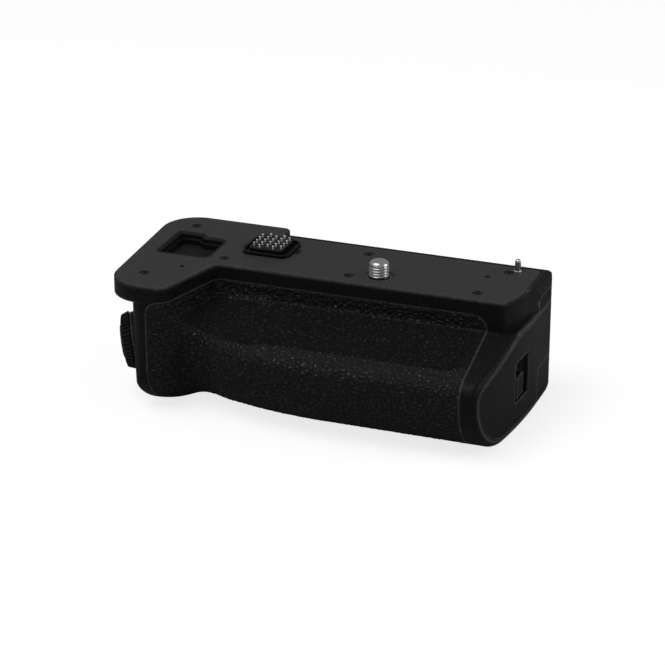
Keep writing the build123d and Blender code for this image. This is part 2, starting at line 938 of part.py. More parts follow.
def pocket_corners(spread):
    corners = [
        (pocket_left_x, pocket_front_y, pocket_small_r),
        (pocket_right_x, pocket_front_y, pocket_corner_r),
        (pocket_right_x, pocket_back_y, pocket_corner_r),
        (pocket_step_x, pocket_back_y, pocket_small_r),
        (pocket_step_x, pocket_step_y, pocket_small_r),
        (pocket_left_x, pocket_step_y, pocket_small_r),
    ]
    return inset_corners(corners, -spread)


def panel_corners(spread):
    corners = rectangle_corners(panel_left_x, panel_right_x, panel_front_y, panel_back_y, panel_corner_r)
    return inset_corners(corners, -spread)


def connector_block_corners(spread):
    corners = rectangle_corners(connector_x - block_width / 2, connector_x + block_width / 2,
                                connector_y - block_depth / 2, connector_y + block_depth / 2, block_corner_r)
    return inset_corners(corners, -spread)


def connector_corners(spread):
    corners = rectangle_corners(connector_x - connector_width / 2, connector_x + connector_width / 2,
                                connector_y - connector_depth / 2, connector_y + connector_depth / 2,
                                connector_corner_r)
    return inset_corners(corners, -spread)


def connector_opening(spread, z_low, z_high):
    opening = prism_up(rounded_face(connector_corners(spread)), z_low, z_high)
    half_width, half_depth = connector_ear_width / 2 + spread, connector_ear_depth / 2 + spread
    return opening + block(connector_x - half_width, connector_x + half_width,
                           connector_y - half_depth, connector_y + half_depth, z_low, z_high)


def top_deck_cuts():
    cuts = prism_up(rim_outline(plate_inset - seam_gap), deck_top_z, body_height + overrun)
    cuts += prism_up(rounded_face(pocket_corners(liner_thickness)), liner_bottom_z, body_height)
    cuts += prism_up(rounded_face(connector_block_corners(seam_gap)), deck_z - overrun, body_height)
    cuts += rod_z(0, 0, bushing_r, deck_z - overrun, body_height)
    cuts += rod_z(guide_pin_x, guide_pin_y, guide_pin_root_r, deck_top_z - guide_pin_root, body_height)
    cuts += rod_z(0, wheel_y, axle_r, deck_z - overrun, deck_z + axle_top)
    for x, y in plate_screw_places():
        cuts += rod_z(x, y, plate_screw_shank_r, body_height - plate_screw_length, body_height)
    return cuts


def door_corners(spread):
    corners = [
        (hinge_y, hinge_block_top_z + door_clearance, 0),
        (hinge_y, door_top_z, 0),
        (door_bend_y, door_top_z - door_clearance, least_corner_r),
        (door_nose_y, door_nose_top_z, door_nose_top_r),
        (door_nose_y, door_bottom_z, door_nose_bottom_r),
        (hinge_block_front_y, door_bottom_z, least_corner_r),
        (hinge_block_front_y, hinge_block_top_z + door_clearance, least_corner_r),
    ]
    return inset_corners(corners, -spread)


def door_recess():
    face = rounded_face(door_corners(door_clearance))
    depth = door_thickness + door_clearance
    recess = prism_along_x(face, cavity_right_x - door_inset, right_end_x + overrun)
    recess &= end_layer(-overrun, depth)
    recess += rod_z(hinge_x, hinge_y, rear_corner_r + door_clearance, hinge_block_top_z,
                    door_top_z + door_clearance)
    recess += block(latch_boss_inner_x - latch_gap, latch_boss_outer_x, latch_boss_front_y - latch_gap,
                    latch_boss_back_y + latch_gap,
                    latch_boss_bottom_z - latch_gap, latch_boss_top_z + latch_gap)
    return recess


def door_end_cuts():
    cuts = door_recess()
    cuts += block(cavity_right_x - overrun, right_end_x, battery_front_y - battery_clearance,
                  battery_back_y + battery_clearance, battery_bottom_z - battery_clearance,
                  battery_top_z + battery_clearance) & end_layer(door_thickness, right_end_x)
    cuts += block(cavity_right_x - overrun, latch_boss_inner_x, latch_hook_front_y - latch_hook_gap,
                  latch_hook_back_y + latch_hook_gap, latch_hook_bottom_z - latch_gap,
                  latch_hook_arm_top_z + latch_travel + latch_gap)
    cuts += rod_z(hinge_x, hinge_y, hinge_pin_r, hinge_pin_bottom_z, hinge_pin_top_z)
    return cuts


def flap_cuts():
    recess = block(flap_inner_x, right_end_x + overrun, flap_front_y, flap_back_y, flap_bottom_z,
                   flap_axis_z)
    reach = flap_thickness / 2 + door_clearance
    recess += rod_y(flap_axis_x, flap_axis_z, reach, flap_front_y, flap_back_y)
    recess += block(flap_axis_x, right_end_x + overrun, flap_front_y, flap_back_y, flap_axis_z - overrun,
                    flap_axis_z + reach)
    recess += rod_y(flap_axis_x, flap_axis_z, flap_pin_r + running_clearance,
                    flap_front_y - flap_pin_reach, flap_back_y + flap_pin_reach)
    return recess + block(cavity_right_x - overrun, flap_axis_x, outlet_front_y, outlet_back_y,
                          outlet_bottom_z, outlet_top_z)


def left_end_cuts():
    cuts = rod_x(lever_y, lever_z, lever_seat_r, left_rim_x, lever_seat_x)
    cuts += rod_x(lever_y, lever_z, lever_shaft_r + running_clearance,
                  left_rim_x, cavity_left_x + overrun)
    cuts += rod_x(end_button_y, end_button_z, end_button_r + button_clearance, left_rim_x,
                  cavity_left_x + overrun)
    return cuts


def casing_posts():
    posts = []
    for x, y in base_screw_places():
        posts.append(rod_z(x, y, base_boss_r, base_cover_thickness, base_boss_top_z))
    for y, z in end_post_places():
        posts.append(rod_x(y, z, board_post_r, cavity_left_x - seam_gap, end_board_x))
    return posts


def casing_screw_holes():
    cuts = []
    for x, y in base_screw_places():
        cuts.append(rod_z(x, y, base_screw_shank_r, 0, base_screw_length))
    for x, z in rear_screw_places():
        cuts.append(rod_y(x, z, rear_screw_shank_r, back_y - rear_screw_length, back_y))
    for x, y in board_screw_places():
        top = board_z + board_thickness - board_screw_head_height
        cuts.append(rod_z(x, y, board_screw_r, board_z, top + board_screw_length))
    return cuts


def main_casing(form, skin):
    casing = form - skin
    casing -= casing_hollows() + base_opening()
    casing -= rear_opening()
    casing -= top_deck_cuts()
    casing -= door_end_cuts()
    casing -= flap_cuts()
    casing -= left_end_cuts()
    for post in casing_posts():
        casing += post
    for cut in casing_screw_holes():
        casing -= cut
    return casing


def top_plate():
    plate = prism_up(rim_outline(plate_inset), deck_top_z, body_height)
    plate -= prism_up(rounded_face(pocket_corners(liner_thickness + seam_gap)), deck_top_z, body_height)
    plate -= prism_up(rounded_face(panel_corners(seam_gap)), body_height - panel_thickness, body_height)
    plate -= connector_opening(seam_gap, deck_top_z, body_height)
    plate -= rod_z(0, 0, bushing_collar_r + seam_gap, deck_top_z, body_height)
    plate -= rod_z(guide_pin_x, guide_pin_y, guide_pin_root_r, deck_top_z, body_height)
    plate -= rod_z(dimple_x, dimple_y, dimple_r, body_height - panel_thickness, body_height)
    for x, y in plate_screw_places():
        plate -= rod_z(x, y, plate_screw_head_r, body_height - plate_screw_head_depth, body_height)
        plate -= rod_z(x, y, plate_screw_shank_r, deck_top_z, body_height)
    return plate


def label_panel():
    panel = prism_up(rounded_face(panel_corners(0)), body_height - panel_thickness, body_height)
    return panel - rod_z(panel_hole_x, panel_hole_y, panel_hole_r,
                         body_height - panel_thickness, body_height)


def pocket_liner():
    cup = prism_up(rounded_face(pocket_corners(liner_thickness)), liner_bottom_z, body_height)
    narrow, wide = pocket_corners(-pocket_rim - pocket_ledge_width), pocket_corners(-pocket_rim)
    cup -= prism_up(rounded_face(narrow), pocket_floor_z, body_height)
    cup -= prism_up(rounded_face(wide), pocket_ledge_z, body_height)
    rim = [Pos(0, 0, body_height - pocket_rim) * rounded_face(wide),
           Pos(0, 0, body_height) * rounded_face(pocket_corners(0))]
    return cup - loft(rim, ruled=True)


def plate_screws():
    top = body_height - plate_screw_head_depth / 3
    depth = plate_screw_head_depth * 2 / 3
    return group([screw_down(x, y, top, plate_screw_head_r, depth, plate_screw_shank_r,
                             plate_screw_length - plate_screw_head_depth)
                  for x, y in plate_screw_places()])


def connector_bezel():
    lip_top = body_height + lip_rise
    bezel = connector_opening(0, deck_top_z, body_height + ear_rise)
    bezel += prism_up(rounded_face(connector_corners(0)), deck_top_z, lip_top)
    bezel -= prism_up(rounded_face(connector_corners(-lip_width)), deck_top_z, lip_top)
    return fillet(bezel.edges().group_by(Axis.Z)[-1], lip_edge_r)


def connector_skirt():
    skirt_top = body_height + skirt_rise
    skirt = prism_up(rounded_face(connector_corners(-lip_width)), deck_top_z, skirt_top)
    return skirt - prism_up(rounded_face(connector_block_corners(0)), deck_top_z, skirt_top)


def pin_places():
    # Staggered columns of contacts: short ones at both ends and in the middle
    places = []
    for column in range(pin_columns):
        count = pins_in_short_column + column % 2
        x = connector_x + (column - (pin_columns - 1) / 2) * pin_column_pitch
        for row in range(count):
            places.append((x, connector_y + (row - (count - 1) / 2) * pin_row_pitch))
    return places


def connector_block():
    body = prism_up(rounded_face(connector_block_corners(0)), board_z + board_thickness,
                    body_height + block_rise)
    bottom = body_height + pin_rise - pin_length - pin_travel
    for x, y in pin_places():
        body -= rod_z(x, y, pin_bore_r, bottom, body_height + block_rise)
    return body


def contact_pins():
    top = body_height + pin_rise
    return group([domed_rod_z(x, y, pin_r, top - pin_length, top) for x, y in pin_places()])


def guide_pin():
    root_top = body_height + guide_pin_root_rise
    root = rod_z(guide_pin_x, guide_pin_y, guide_pin_root_r, deck_top_z - guide_pin_root, root_top)
    return root + domed_rod_z(guide_pin_x, guide_pin_y, guide_pin_r, root_top, body_height + guide_pin_rise)


def camera_screw():
    top = body_height + screw_rise
    thread = rod_z(0, 0, screw_thread_r, body_height + screw_neck_rise, top)
    rim = thread.edges().filter_by(GeomType.CIRCLE).sort_by(Axis.Z)[-1:]
    thread = fillet(rim, screw_tip_r)
    thread += rod_z(0, 0, screw_neck_r, screw_neck_bottom_z, body_height + screw_neck_rise)
    flange = rod_z(0, 0, screw_flange_r, screw_flange_z, screw_neck_bottom_z)
    hexagon = RegularPolygon(screw_hex_width / 2, 6, major_radius=False)
    return thread + flange + prism_up(hexagon, screw_hex_bottom_z, screw_flange_z)


def screw_bushing():
    ring = rod_z(0, 0, bushing_r, deck_z, deck_top_z)
    ring += rod_z(0, 0, bushing_collar_r, deck_top_z, body_height - bushing_sink)
    return ring - rod_z(0, 0, bushing_bore_r, deck_z, body_height)


def screw_gear():
    gear = prism_up(gear_face(screw_gear_teeth), gear_z, gear_z + gear_height)
    gear += rod_z(0, 0, screw_gear_hub_r, bracket_z, gear_z)
    hexagon = RegularPolygon((screw_hex_width + hex_clearance) / 2, 6, major_radius=False)
    return gear - prism_up(hexagon, bracket_z, gear_z + gear_height)


def screw_spring():
    low = gear_z + gear_height + screw_spring_wire_r
    high = screw_flange_z - screw_spring_wire_r
    path = Pos(0, 0, low) * Helix((high - low) / screw_spring_turns, high - low, screw_spring_r)
    start = path.position_at(0)
    heading = path.tangent_at(0)
    wire = Plane(origin=start, z_dir=heading) * Circle(screw_spring_wire_r)
    return sweep(wire, path=path, is_frenet=True)


def gear_bracket():
    plate = block(-bracket_half_width, bracket_half_width, cavity_front_y, cavity_back_y,
                  bracket_z, bracket_z + bracket_thickness)
    plate -= rod_z(0, 0, screw_gear_hub_r + seam_gap, bracket_z, bracket_z + bracket_thickness)
    return plate - rod_z(0, wheel_y, axle_r, bracket_z, bracket_z + bracket_thickness)


def attachment_wheel():
    tooth_share, root_share = 0.3, 0.8
    disc = Pos(0, wheel_y, wheel_z) * extrude(
        star_face(wheel_r, wheel_r - wheel_knurl_depth, wheel_knurls, tooth_share, root_share),
        wheel_thickness, dir=(0, 0, 1))
    turn = -90 + 180 / wheel_gear_teeth
    gear = Pos(0, wheel_y, gear_z) * Rot(0, 0, turn) * extrude(gear_face(wheel_gear_teeth), gear_height,
                                                            dir=(0, 0, 1))
    hub = rod_z(0, wheel_y, wheel_hub_r, gear_z, wheel_z + wheel_thickness)
    return disc + gear + hub - rod_z(0, wheel_y, axle_r + running_clearance, gear_z,
                                     wheel_z + wheel_thickness)


def wheel_axle():
    return rod_z(0, wheel_y, axle_r, bracket_z - clip_thickness - overrun, deck_z + axle_top)


def axle_clip():
    low = bracket_z - clip_thickness
    return rod_z(0, wheel_y, clip_r, low, bracket_z) - rod_z(0, wheel_y, axle_r, low, bracket_z)


def tripod_socket():
    flange_z = base_cover_thickness
    socket = rod_z(0, 0, socket_barrel_r, 0, socket_height)
    socket += rod_z(0, 0, socket_flange_r, flange_z, flange_z + socket_flange_thickness)
    return socket - rod_z(0, 0, socket_thread_r, 0, socket_hole_depth)


def base_cover():
    corners = rectangle_corners(base_cover_left_x, base_cover_right_x, base_cover_front_y,
                                base_cover_back_y, base_cover_corner_r)
    cover = prism_up(rounded_face(inset_corners(corners, seam_gap)), 0, base_cover_thickness)
    cover -= rod_z(0, 0, socket_barrel_r, 0, base_cover_thickness)
    for x, y in base_screw_places():
        cover -= rod_z(x, y, base_screw_head_r, 0, base_screw_head_depth)
        cover -= rod_z(x, y, base_screw_shank_r, 0, base_cover_thickness)
    return cover


def base_screws():
    return group([screw_up(x, y, 0, base_screw_head_r, base_screw_head_depth, base_screw_shank_r,
                           base_screw_length) for x, y in base_screw_places()])


def battery_box():
    outer = block(box_left_x, cavity_right_x, box_front_y, box_back_y, box_bottom_z, box_top_z)
    inner = block(box_left_x + box_wall, cavity_right_x, box_front_y + box_wall, box_back_y - box_wall,
                  box_bottom_z + box_wall, box_top_z - box_wall)
    half = contact_block_width / 2
    window = block(box_left_x, box_left_x + box_wall, contact_block_y - half, contact_block_y + half,
                   contact_block_bottom_z, contact_block_bottom_z + contact_block_height)
    return outer - inner - window


def battery():
    pack = block(battery_left_x, battery_right_x, battery_front_y, battery_back_y, battery_bottom_z,
                 battery_top_z)
    long_edges = pack.edges().filter_by(Axis.X)
    return fillet(long_edges, battery_corner_r)


def battery_contacts():
    half = contact_block_width / 2
    right = box_left_x + box_wall
    left = right - contact_block_length
    top = contact_block_bottom_z + contact_block_height
    body = block(left, right, contact_block_y - half, contact_block_y + half, contact_block_bottom_z, top)
    pitch = contact_block_width / contact_blades
    blade = contact_blade_share * pitch
    for index in range(contact_blades):
        y = contact_block_y - half + (index + 1 / 2) * pitch
        body -= block(right - box_wall / 2, right, y - blade / 2, y + blade / 2,
                      contact_block_bottom_z + box_wall, top - box_wall)
    return body


def flex_cable():
    # Ribbon from the battery contacts up to the main board
    half = flex_width / 2
    front, back = contact_block_y - half, contact_block_y + half
    contacts_x = box_left_x + box_wall - contact_block_length
    rise_x = min(board_right_x, contacts_x) - flex_inset
    low = contact_block_bottom_z + contact_block_height / 2
    upright_run = block(rise_x - flex_thickness, rise_x, front, back, low, board_z)
    return upright_run + block(rise_x - flex_thickness, contacts_x, front, back, low, low + flex_thickness)


def battery_door():
    face = rounded_face(door_corners(0))
    door = prism_along_x(face, cavity_right_x - door_inset, right_end_x) & end_layer(0, door_thickness)
    barrel_bottom = hinge_block_top_z + door_clearance
    door += rod_z(hinge_x, hinge_y, rear_corner_r, barrel_bottom, door_top_z)
    door += block(latch_boss_inner_x, latch_boss_outer_x, latch_boss_front_y, latch_boss_back_y,
                  latch_boss_bottom_z, latch_boss_top_z)
    door -= block(latch_boss_floor_x, latch_window_x, latch_slider_front_y - latch_gap,
                  latch_slider_back_y + latch_gap, latch_slider_bottom_z - latch_gap,
                  latch_slider_top_z + latch_travel + latch_gap)
    door -= block(latch_window_x, right_end_x, latch_recess_front_y, latch_recess_back_y,
                  latch_recess_bottom_z, latch_recess_top_z)
    door -= block(latch_boss_inner_x, latch_boss_floor_x, latch_hook_front_y - latch_gap,
                  latch_hook_back_y + latch_gap, latch_hook_bottom_z - latch_gap,
                  latch_hook_arm_top_z + latch_travel + latch_gap)
    return door - rod_z(hinge_x, hinge_y, hinge_pin_r + running_clearance, barrel_bottom, door_top_z)


def door_hinge_pin():
    return rod_z(hinge_x, hinge_y, hinge_pin_r, hinge_pin_bottom_z, hinge_pin_top_z)


def door_latch():
    slider = block(latch_slider_x, latch_slider_x + latch_slider_thickness, latch_slider_front_y,
                   latch_slider_back_y, latch_slider_bottom_z, latch_slider_top_z)
    knob = block(latch_slider_x, latch_knob_outer_x, latch_slider_front_y + latch_knob_edge,
                 latch_slider_back_y - latch_knob_edge, latch_knob_bottom_z,
                 latch_knob_bottom_z + latch_knob_height)
    arm = block(latch_hook_inner_x, latch_slider_x, latch_hook_front_y, latch_hook_back_y,
                latch_hook_bottom_z, latch_hook_arm_top_z)
    finger = block(latch_hook_inner_x, latch_hook_finger_x, latch_hook_front_y, latch_hook_back_y,
                   latch_hook_bottom_z, latch_hook_top_z)
    return slider + knob + arm + finger


def dc_cord_cover():
    front, back = flap_front_y + door_clearance, flap_back_y - door_clearance
    flap = block(flap_inner_x + door_clearance, flap_outer_x, front, back, flap_bottom_z + door_clearance,
                 flap_axis_z)
    flap += rod_y(flap_axis_x, flap_axis_z, flap_outer_x - flap_axis_x, front, back)
    pin = rod_y(flap_axis_x, flap_axis_z, flap_pin_r, flap_front_y - flap_pin_reach + door_clearance,
                flap_back_y + flap_pin_reach - door_clearance)
    return flap + pin


def dial_place():
    # Frame of the dial: its own +Z points outwards along the slanted axis
    yaw, pitch = math.radians(dial_yaw), math.radians(dial_pitch)
    out = (-math.cos(pitch) * math.cos(yaw), -math.cos(pitch) * math.sin(yaw), -math.sin(pitch))
    return Plane(origin=(dial_x, dial_y, dial_z), x_dir=(math.sin(yaw), -math.cos(yaw), 0), z_dir=out)


def dial_rod(radius, low, high):
    return dial_place() * (Pos(0, 0, (low + high) / 2) * Cylinder(radius, high - low))


def dial_boss(form):
    collar = dial_rod(collar_r, -collar_reach, -dial_gap) - form
    collar = collar.solids().sort_by(SortBy.VOLUME)[-1]
    core = dial_rod(dial_core_r, -dial_gap - overrun, dial_core_rise)
    return collar + core - dial_rod(shutter_bore_r, -shutter_bore_depth, dial_core_rise)


def front_dial():
    tip_share, root_share = 0.25, 0.75
    inner = star_face(dial_inner_r, dial_inner_r - dial_knurl_depth, dial_knurls, tip_share, root_share)
    outer = star_face(dial_outer_r, dial_outer_r - dial_knurl_depth, dial_knurls, tip_share, root_share)
    ring = loft([inner, Pos(0, 0, dial_thickness) * outer], ruled=True)
    bore = Cylinder(dial_core_r + running_clearance, dial_thickness + overrun)
    return dial_place() * (ring - Pos(0, 0, dial_thickness / 2) * bore)


def shutter_button():
    cap = Pos(0, 0, (shutter_cap_top + shutter_cap_bottom) / 2) * Cylinder(
        shutter_cap_r, shutter_cap_top - shutter_cap_bottom)
    dish = Pos(0, 0, shutter_cap_top - shutter_dish_depth + shutter_dish_r) * Sphere(shutter_dish_r)
    stem = Pos(0, 0, shutter_cap_bottom - shutter_stem_length / 2) * Cylinder(shutter_stem_r,
                                                                           shutter_stem_length)
    return dial_place() * (cap + stem - dish)


def shutter_switch():
    height = shutter_bore_depth + shutter_cap_bottom - shutter_stem_length - shutter_travel - switch_gap
    switch = Box(switch_size, switch_size, height)
    return dial_place() * (Pos(0, 0, height / 2 - shutter_bore_depth) * switch)


def end_button():
    cap = rod_x(end_button_y, end_button_z, end_button_r, end_button_outer_x, end_button_flange_x)
    flange = rod_x(end_button_y, end_button_z, end_button_flange_r, end_button_flange_x,
                   end_button_flange_x + end_button_flange_thickness)
    stem = rod_x(end_button_y, end_button_z, end_button_stem_r, end_button_flange_x,
                 end_button_stem_tip_x)
    return cap + flange + stem


def end_switch_board():
    board = block(end_board_x, end_board_x + end_board_thickness, end_board_front_y, end_board_back_y,
                  end_board_bottom_z, end_board_top_z)
    half = switch_size / 2
    return board + block(end_board_x - end_board_switch_height, end_board_x, end_button_y - half,
                         end_button_y + half, end_button_z - half, end_button_z + half)


def lock_lever():
    disc_left = lever_seat_x - seam_gap - lever_disc_thickness
    disc = rod_x(lever_y, lever_z, lever_disc_r, disc_left, lever_seat_x - seam_gap)
    reach = lever_grip_share * lever_disc_r
    grip = block(disc_left - lever_grip_rise, disc_left, lever_y - lever_grip_width / 2,
                 lever_y + lever_grip_width / 2, lever_z - reach, lever_z + reach)
    shaft = rod_x(lever_y, lever_z, lever_shaft_r, disc_left, cavity_left_x + lever_shaft_reach)
    return disc + grip + shaft


def lever_clip():
    low = cavity_left_x + seam_gap
    high = low + lever_clip_thickness
    clip = rod_x(lever_y, lever_z, lever_clip_r, low, high)
    return clip - rod_x(lever_y, lever_z, lever_shaft_r, low, high)


def rear_button(x, z, radius):
    cap = rod_y(x, z, radius, rear_flange_y, back_y + rear_button_rise)
    flange = rod_y(x, z, radius + rear_button_flange, rear_flange_y - rear_button_flange_thickness,
                   rear_flange_y)
    stem = rod_y(x, z, rear_button_stem_r, rear_stem_tip_y, rear_flange_y)
    return cap + flange + stem


def rear_cheeks():
    # Two lugs inside the rear cover that carry the rear dial's axle
    front = rear_dial_y - cheek_half_height
    low, high = rear_dial_z - cheek_half_height, rear_dial_z + cheek_half_height
    left_edge = rear_dial_left_x - rear_dial_gap
    right_edge = rear_dial_left_x + rear_dial_width + rear_dial_gap
    back = back_y - rear_cover_thickness / 2
    left = block(left_edge - cheek_thickness, left_edge, front, back, low, high)
    right = block(right_edge, right_edge + cheek_thickness, front, back, low, high)
    return left, right


def rear_post_places():
    inset = board_post_inset
    return [(rear_board_right_x - inset, rear_board_bottom_z + inset), (rear_post_x, rear_post_z)]


def rear_cover():
    corners = rectangle_corners(rear_cover_left_x, rear_cover_right_x, rear_cover_bottom_z,
                                rear_cover_top_z, rear_cover_corner_r)
    cover = prism_along_y(rounded_face(inset_corners(corners, seam_gap)), rear_cover_y, back_y)
    for cheek in rear_cheeks():
        cover += cheek
    cover -= rod_x(rear_dial_y, rear_dial_z, rear_dial_axle_r, cheek_left_x, cheek_right_x)
    reach = rear_dial_r + rear_dial_gap
    cover -= block(rear_dial_left_x - rear_dial_gap, rear_dial_left_x + rear_dial_width + rear_dial_gap,
                   rear_cover_y - overrun, back_y, rear_dial_z - reach, rear_dial_z + reach)
    for x, z in rear_post_places():
        cover += rod_y(x, z, board_post_r, rear_board_y + rear_board_thickness,
                       back_y - rear_cover_thickness / 2)
    cover -= rod_y(focus_button_x, focus_button_z, focus_button_r + button_clearance, rear_cover_y, back_y)
    cover -= rod_y(function_button_x, function_button_z, function_button_r + button_clearance,
                   rear_cover_y, back_y)
    cover -= rod_y(stick_x, stick_z, stick_hole_r, rear_cover_y, back_y)
    pad = rectangle_corners(thumb_pad_left_x, thumb_pad_right_x, thumb_pad_bottom_z, thumb_pad_top_z,
                            thumb_pad_corner_r)
    cover -= prism_along_y(rounded_face(inset_corners(pad, -seam_gap)), back_y - thumb_pad_sink, back_y)
    for x, z in rear_screw_places():
        cover -= rod_y(x, z, rear_screw_head_r, back_y - rear_screw_head_depth, back_y)
        cover -= rod_y(x, z, rear_screw_shank_r, rear_cover_y, back_y)
    return cover


def rear_screws():
    return group([screw_forward(x, z, back_y, rear_screw_head_r, rear_screw_head_depth,
                                rear_screw_shank_r, rear_screw_length) for x, z in rear_screw_places()])


def thumb_pad():
    corners = rectangle_corners(thumb_pad_left_x, thumb_pad_right_x, thumb_pad_bottom_z, thumb_pad_top_z,
                                thumb_pad_corner_r)
    low = back_y - thumb_pad_sink
    pad = prism_along_y(rounded_face(corners), low, low + thumb_pad_thickness)
    outer_edges = pad.faces().sort_by(Axis.Y)[-1].edges()
    return fillet(outer_edges, (thumb_pad_thickness - thumb_pad_sink) / 2)


def rear_dial():
    tip_share, root_share = 0.35, 0.75
    face = star_face(rear_dial_r, rear_dial_r - rear_dial_knurl_depth, rear_dial_knurls,
                     tip_share, root_share)
    wheel = prism_along_x(Pos(rear_dial_y, rear_dial_z) * face, rear_dial_left_x,
                          rear_dial_left_x + rear_dial_width)
    return wheel - rod_x(rear_dial_y, rear_dial_z, rear_dial_axle_r + running_clearance, rear_dial_left_x,
                         rear_dial_left_x + rear_dial_width)


def rear_dial_axle():
    return rod_x(rear_dial_y, rear_dial_z, rear_dial_axle_r, cheek_left_x, cheek_right_x)


def joystick():
    stem = rod_y(stick_x, stick_z, stick_r, stick_pivot_y, stick_cap_y + stick_cap_thickness / 2)
    cap = rod_y(stick_x, stick_z, stick_cap_r, stick_cap_y, stick_cap_y + stick_cap_thickness)
    ball = Pos(stick_x, stick_pivot_y, stick_z) * Sphere(stick_ball_r)
    pins = rod_z(stick_x, stick_pivot_y, ring_pin_r, stick_z - ring_pin_tip, stick_z + ring_pin_tip)
    return stem + cap + ball + pins


def joystick_ring():
    # Tilting ring that carries the stick and is carried by the base
    low, high = stick_pivot_y - ring_half_thickness, stick_pivot_y + ring_half_thickness
    ring = rod_y(stick_x, stick_z, ring_outer_r, low, high)
    ring -= rod_y(stick_x, stick_z, ring_inner_r, low, high)
    tip = stick_base_bore_r + base_pin_reach
    pins = rod_x(stick_pivot_y, stick_z, ring_pin_r, stick_x - tip, stick_x + tip)
    pins -= rod_y(stick_x, stick_z, ring_inner_r, low, high)
    ring += pins
    return ring - rod_z(stick_x, stick_pivot_y, ring_pin_r + running_clearance, stick_z - ring_outer_r,
                        stick_z + ring_outer_r)


def joystick_base():
    low = rear_board_y + rear_board_thickness
    high = stick_pivot_y + ring_half_thickness + button_clearance
    cup = block(stick_x - stick_base_half, stick_x + stick_base_half, low, high,
                stick_z - stick_base_half, stick_z + stick_base_half)
    cup -= rod_y(stick_x, stick_z, stick_base_bore_r, stick_base_floor_y, high)
    tip = stick_base_bore_r + base_pin_reach + running_clearance
    return cup - rod_x(stick_pivot_y, stick_z, ring_pin_r + running_clearance, stick_x - tip, stick_x + tip)


def rear_switch_board():
    top = rear_board_y + rear_board_thickness
    board = block(rear_board_left_x, rear_board_right_x, rear_board_y, top, rear_board_bottom_z,
                  rear_board_top_z)
    half = switch_size / 2
    for x, z in ((focus_button_x, focus_button_z), (function_button_x, function_button_z)):
        board += block(x - half, x + half, top, top + rear_switch_height, z - half, z + half)
    return board


def main_board():
    board = block(board_left_x, board_right_x, board_front_y, board_back_y,
                  board_z, board_z + board_thickness)
    middle_y = (board_front_y + board_back_y) / 2
    for share in chip_places_share:
        x = board_left_x + share * (board_right_x - board_left_x)
        board += block(x - chip_size / 2, x + chip_size / 2,
                       middle_y - chip_size / 2, middle_y + chip_size / 2, board_z - chip_height, board_z)
    for x, y in board_screw_places():
        board -= rod_z(x, y, board_screw_r, board_z, board_z + board_thickness)
    return board


def board_screws():
    return group([screw_up(x, y, board_z - board_screw_head_height, board_screw_head_r,
                           board_screw_head_height, board_screw_r,
                           board_screw_length) for x, y in board_screw_places()])


# Places that follow from the sizes
hinge_x = right_end_x - rear_corner_r
hinge_y = back_y - rear_corner_r
liner_bottom_z = pocket_floor_z - liner_thickness
rear_cover_y = back_y - rear_cover_thickness
battery_right_x = cavity_right_x + battery_end_gap
battery_left_x = battery_right_x - battery_length
battery_back_y = battery_front_y + battery_width
battery_top_z = battery_bottom_z + battery_thickness
box_left_x = battery_left_x - battery_clearance - box_wall
box_front_y = battery_front_y - battery_clearance - box_wall
box_back_y = battery_back_y + battery_clearance + box_wall
box_bottom_z = battery_bottom_z - battery_clearance - box_wall
box_top_z = battery_top_z + battery_clearance + box_wall
contact_block_bottom_z = (battery_bottom_z + battery_top_z - contact_block_height) / 2
screw_flange_z = screw_neck_bottom_z - screw_flange_thickness
board_z = cavity_top_z - board_thickness
latch_slider_top_z = latch_hook_arm_top_z
flap_axis_x = flap_outer_x - flap_thickness / 2
flap_inner_x = flap_outer_x - flap_thickness - door_clearance
flap_axis_z = flap_top_z - flap_thickness / 2 - door_clearance
end_button_flange_x = cavity_left_x + seam_gap
end_button_stem_tip_x = end_button_flange_x + end_button_flange_thickness + end_button_stem_length
end_board_x = end_button_stem_tip_x + end_button_travel + seam_gap + end_board_switch_height
rear_flange_y = rear_cover_y - seam_gap
rear_stem_tip_y = rear_board_y + rear_board_thickness + rear_switch_height + rear_button_travel + seam_gap
cheek_left_x = rear_dial_left_x - rear_dial_gap - cheek_thickness
cheek_right_x = rear_dial_left_x + rear_dial_width + rear_dial_gap + cheek_thickness
ring_pin_tip = ring_outer_r - button_clearance
base_pin_reach = (stick_base_half - stick_base_bore_r) / 2
stick_base_floor_y = stick_pivot_y - stick_ball_r - button_clearance


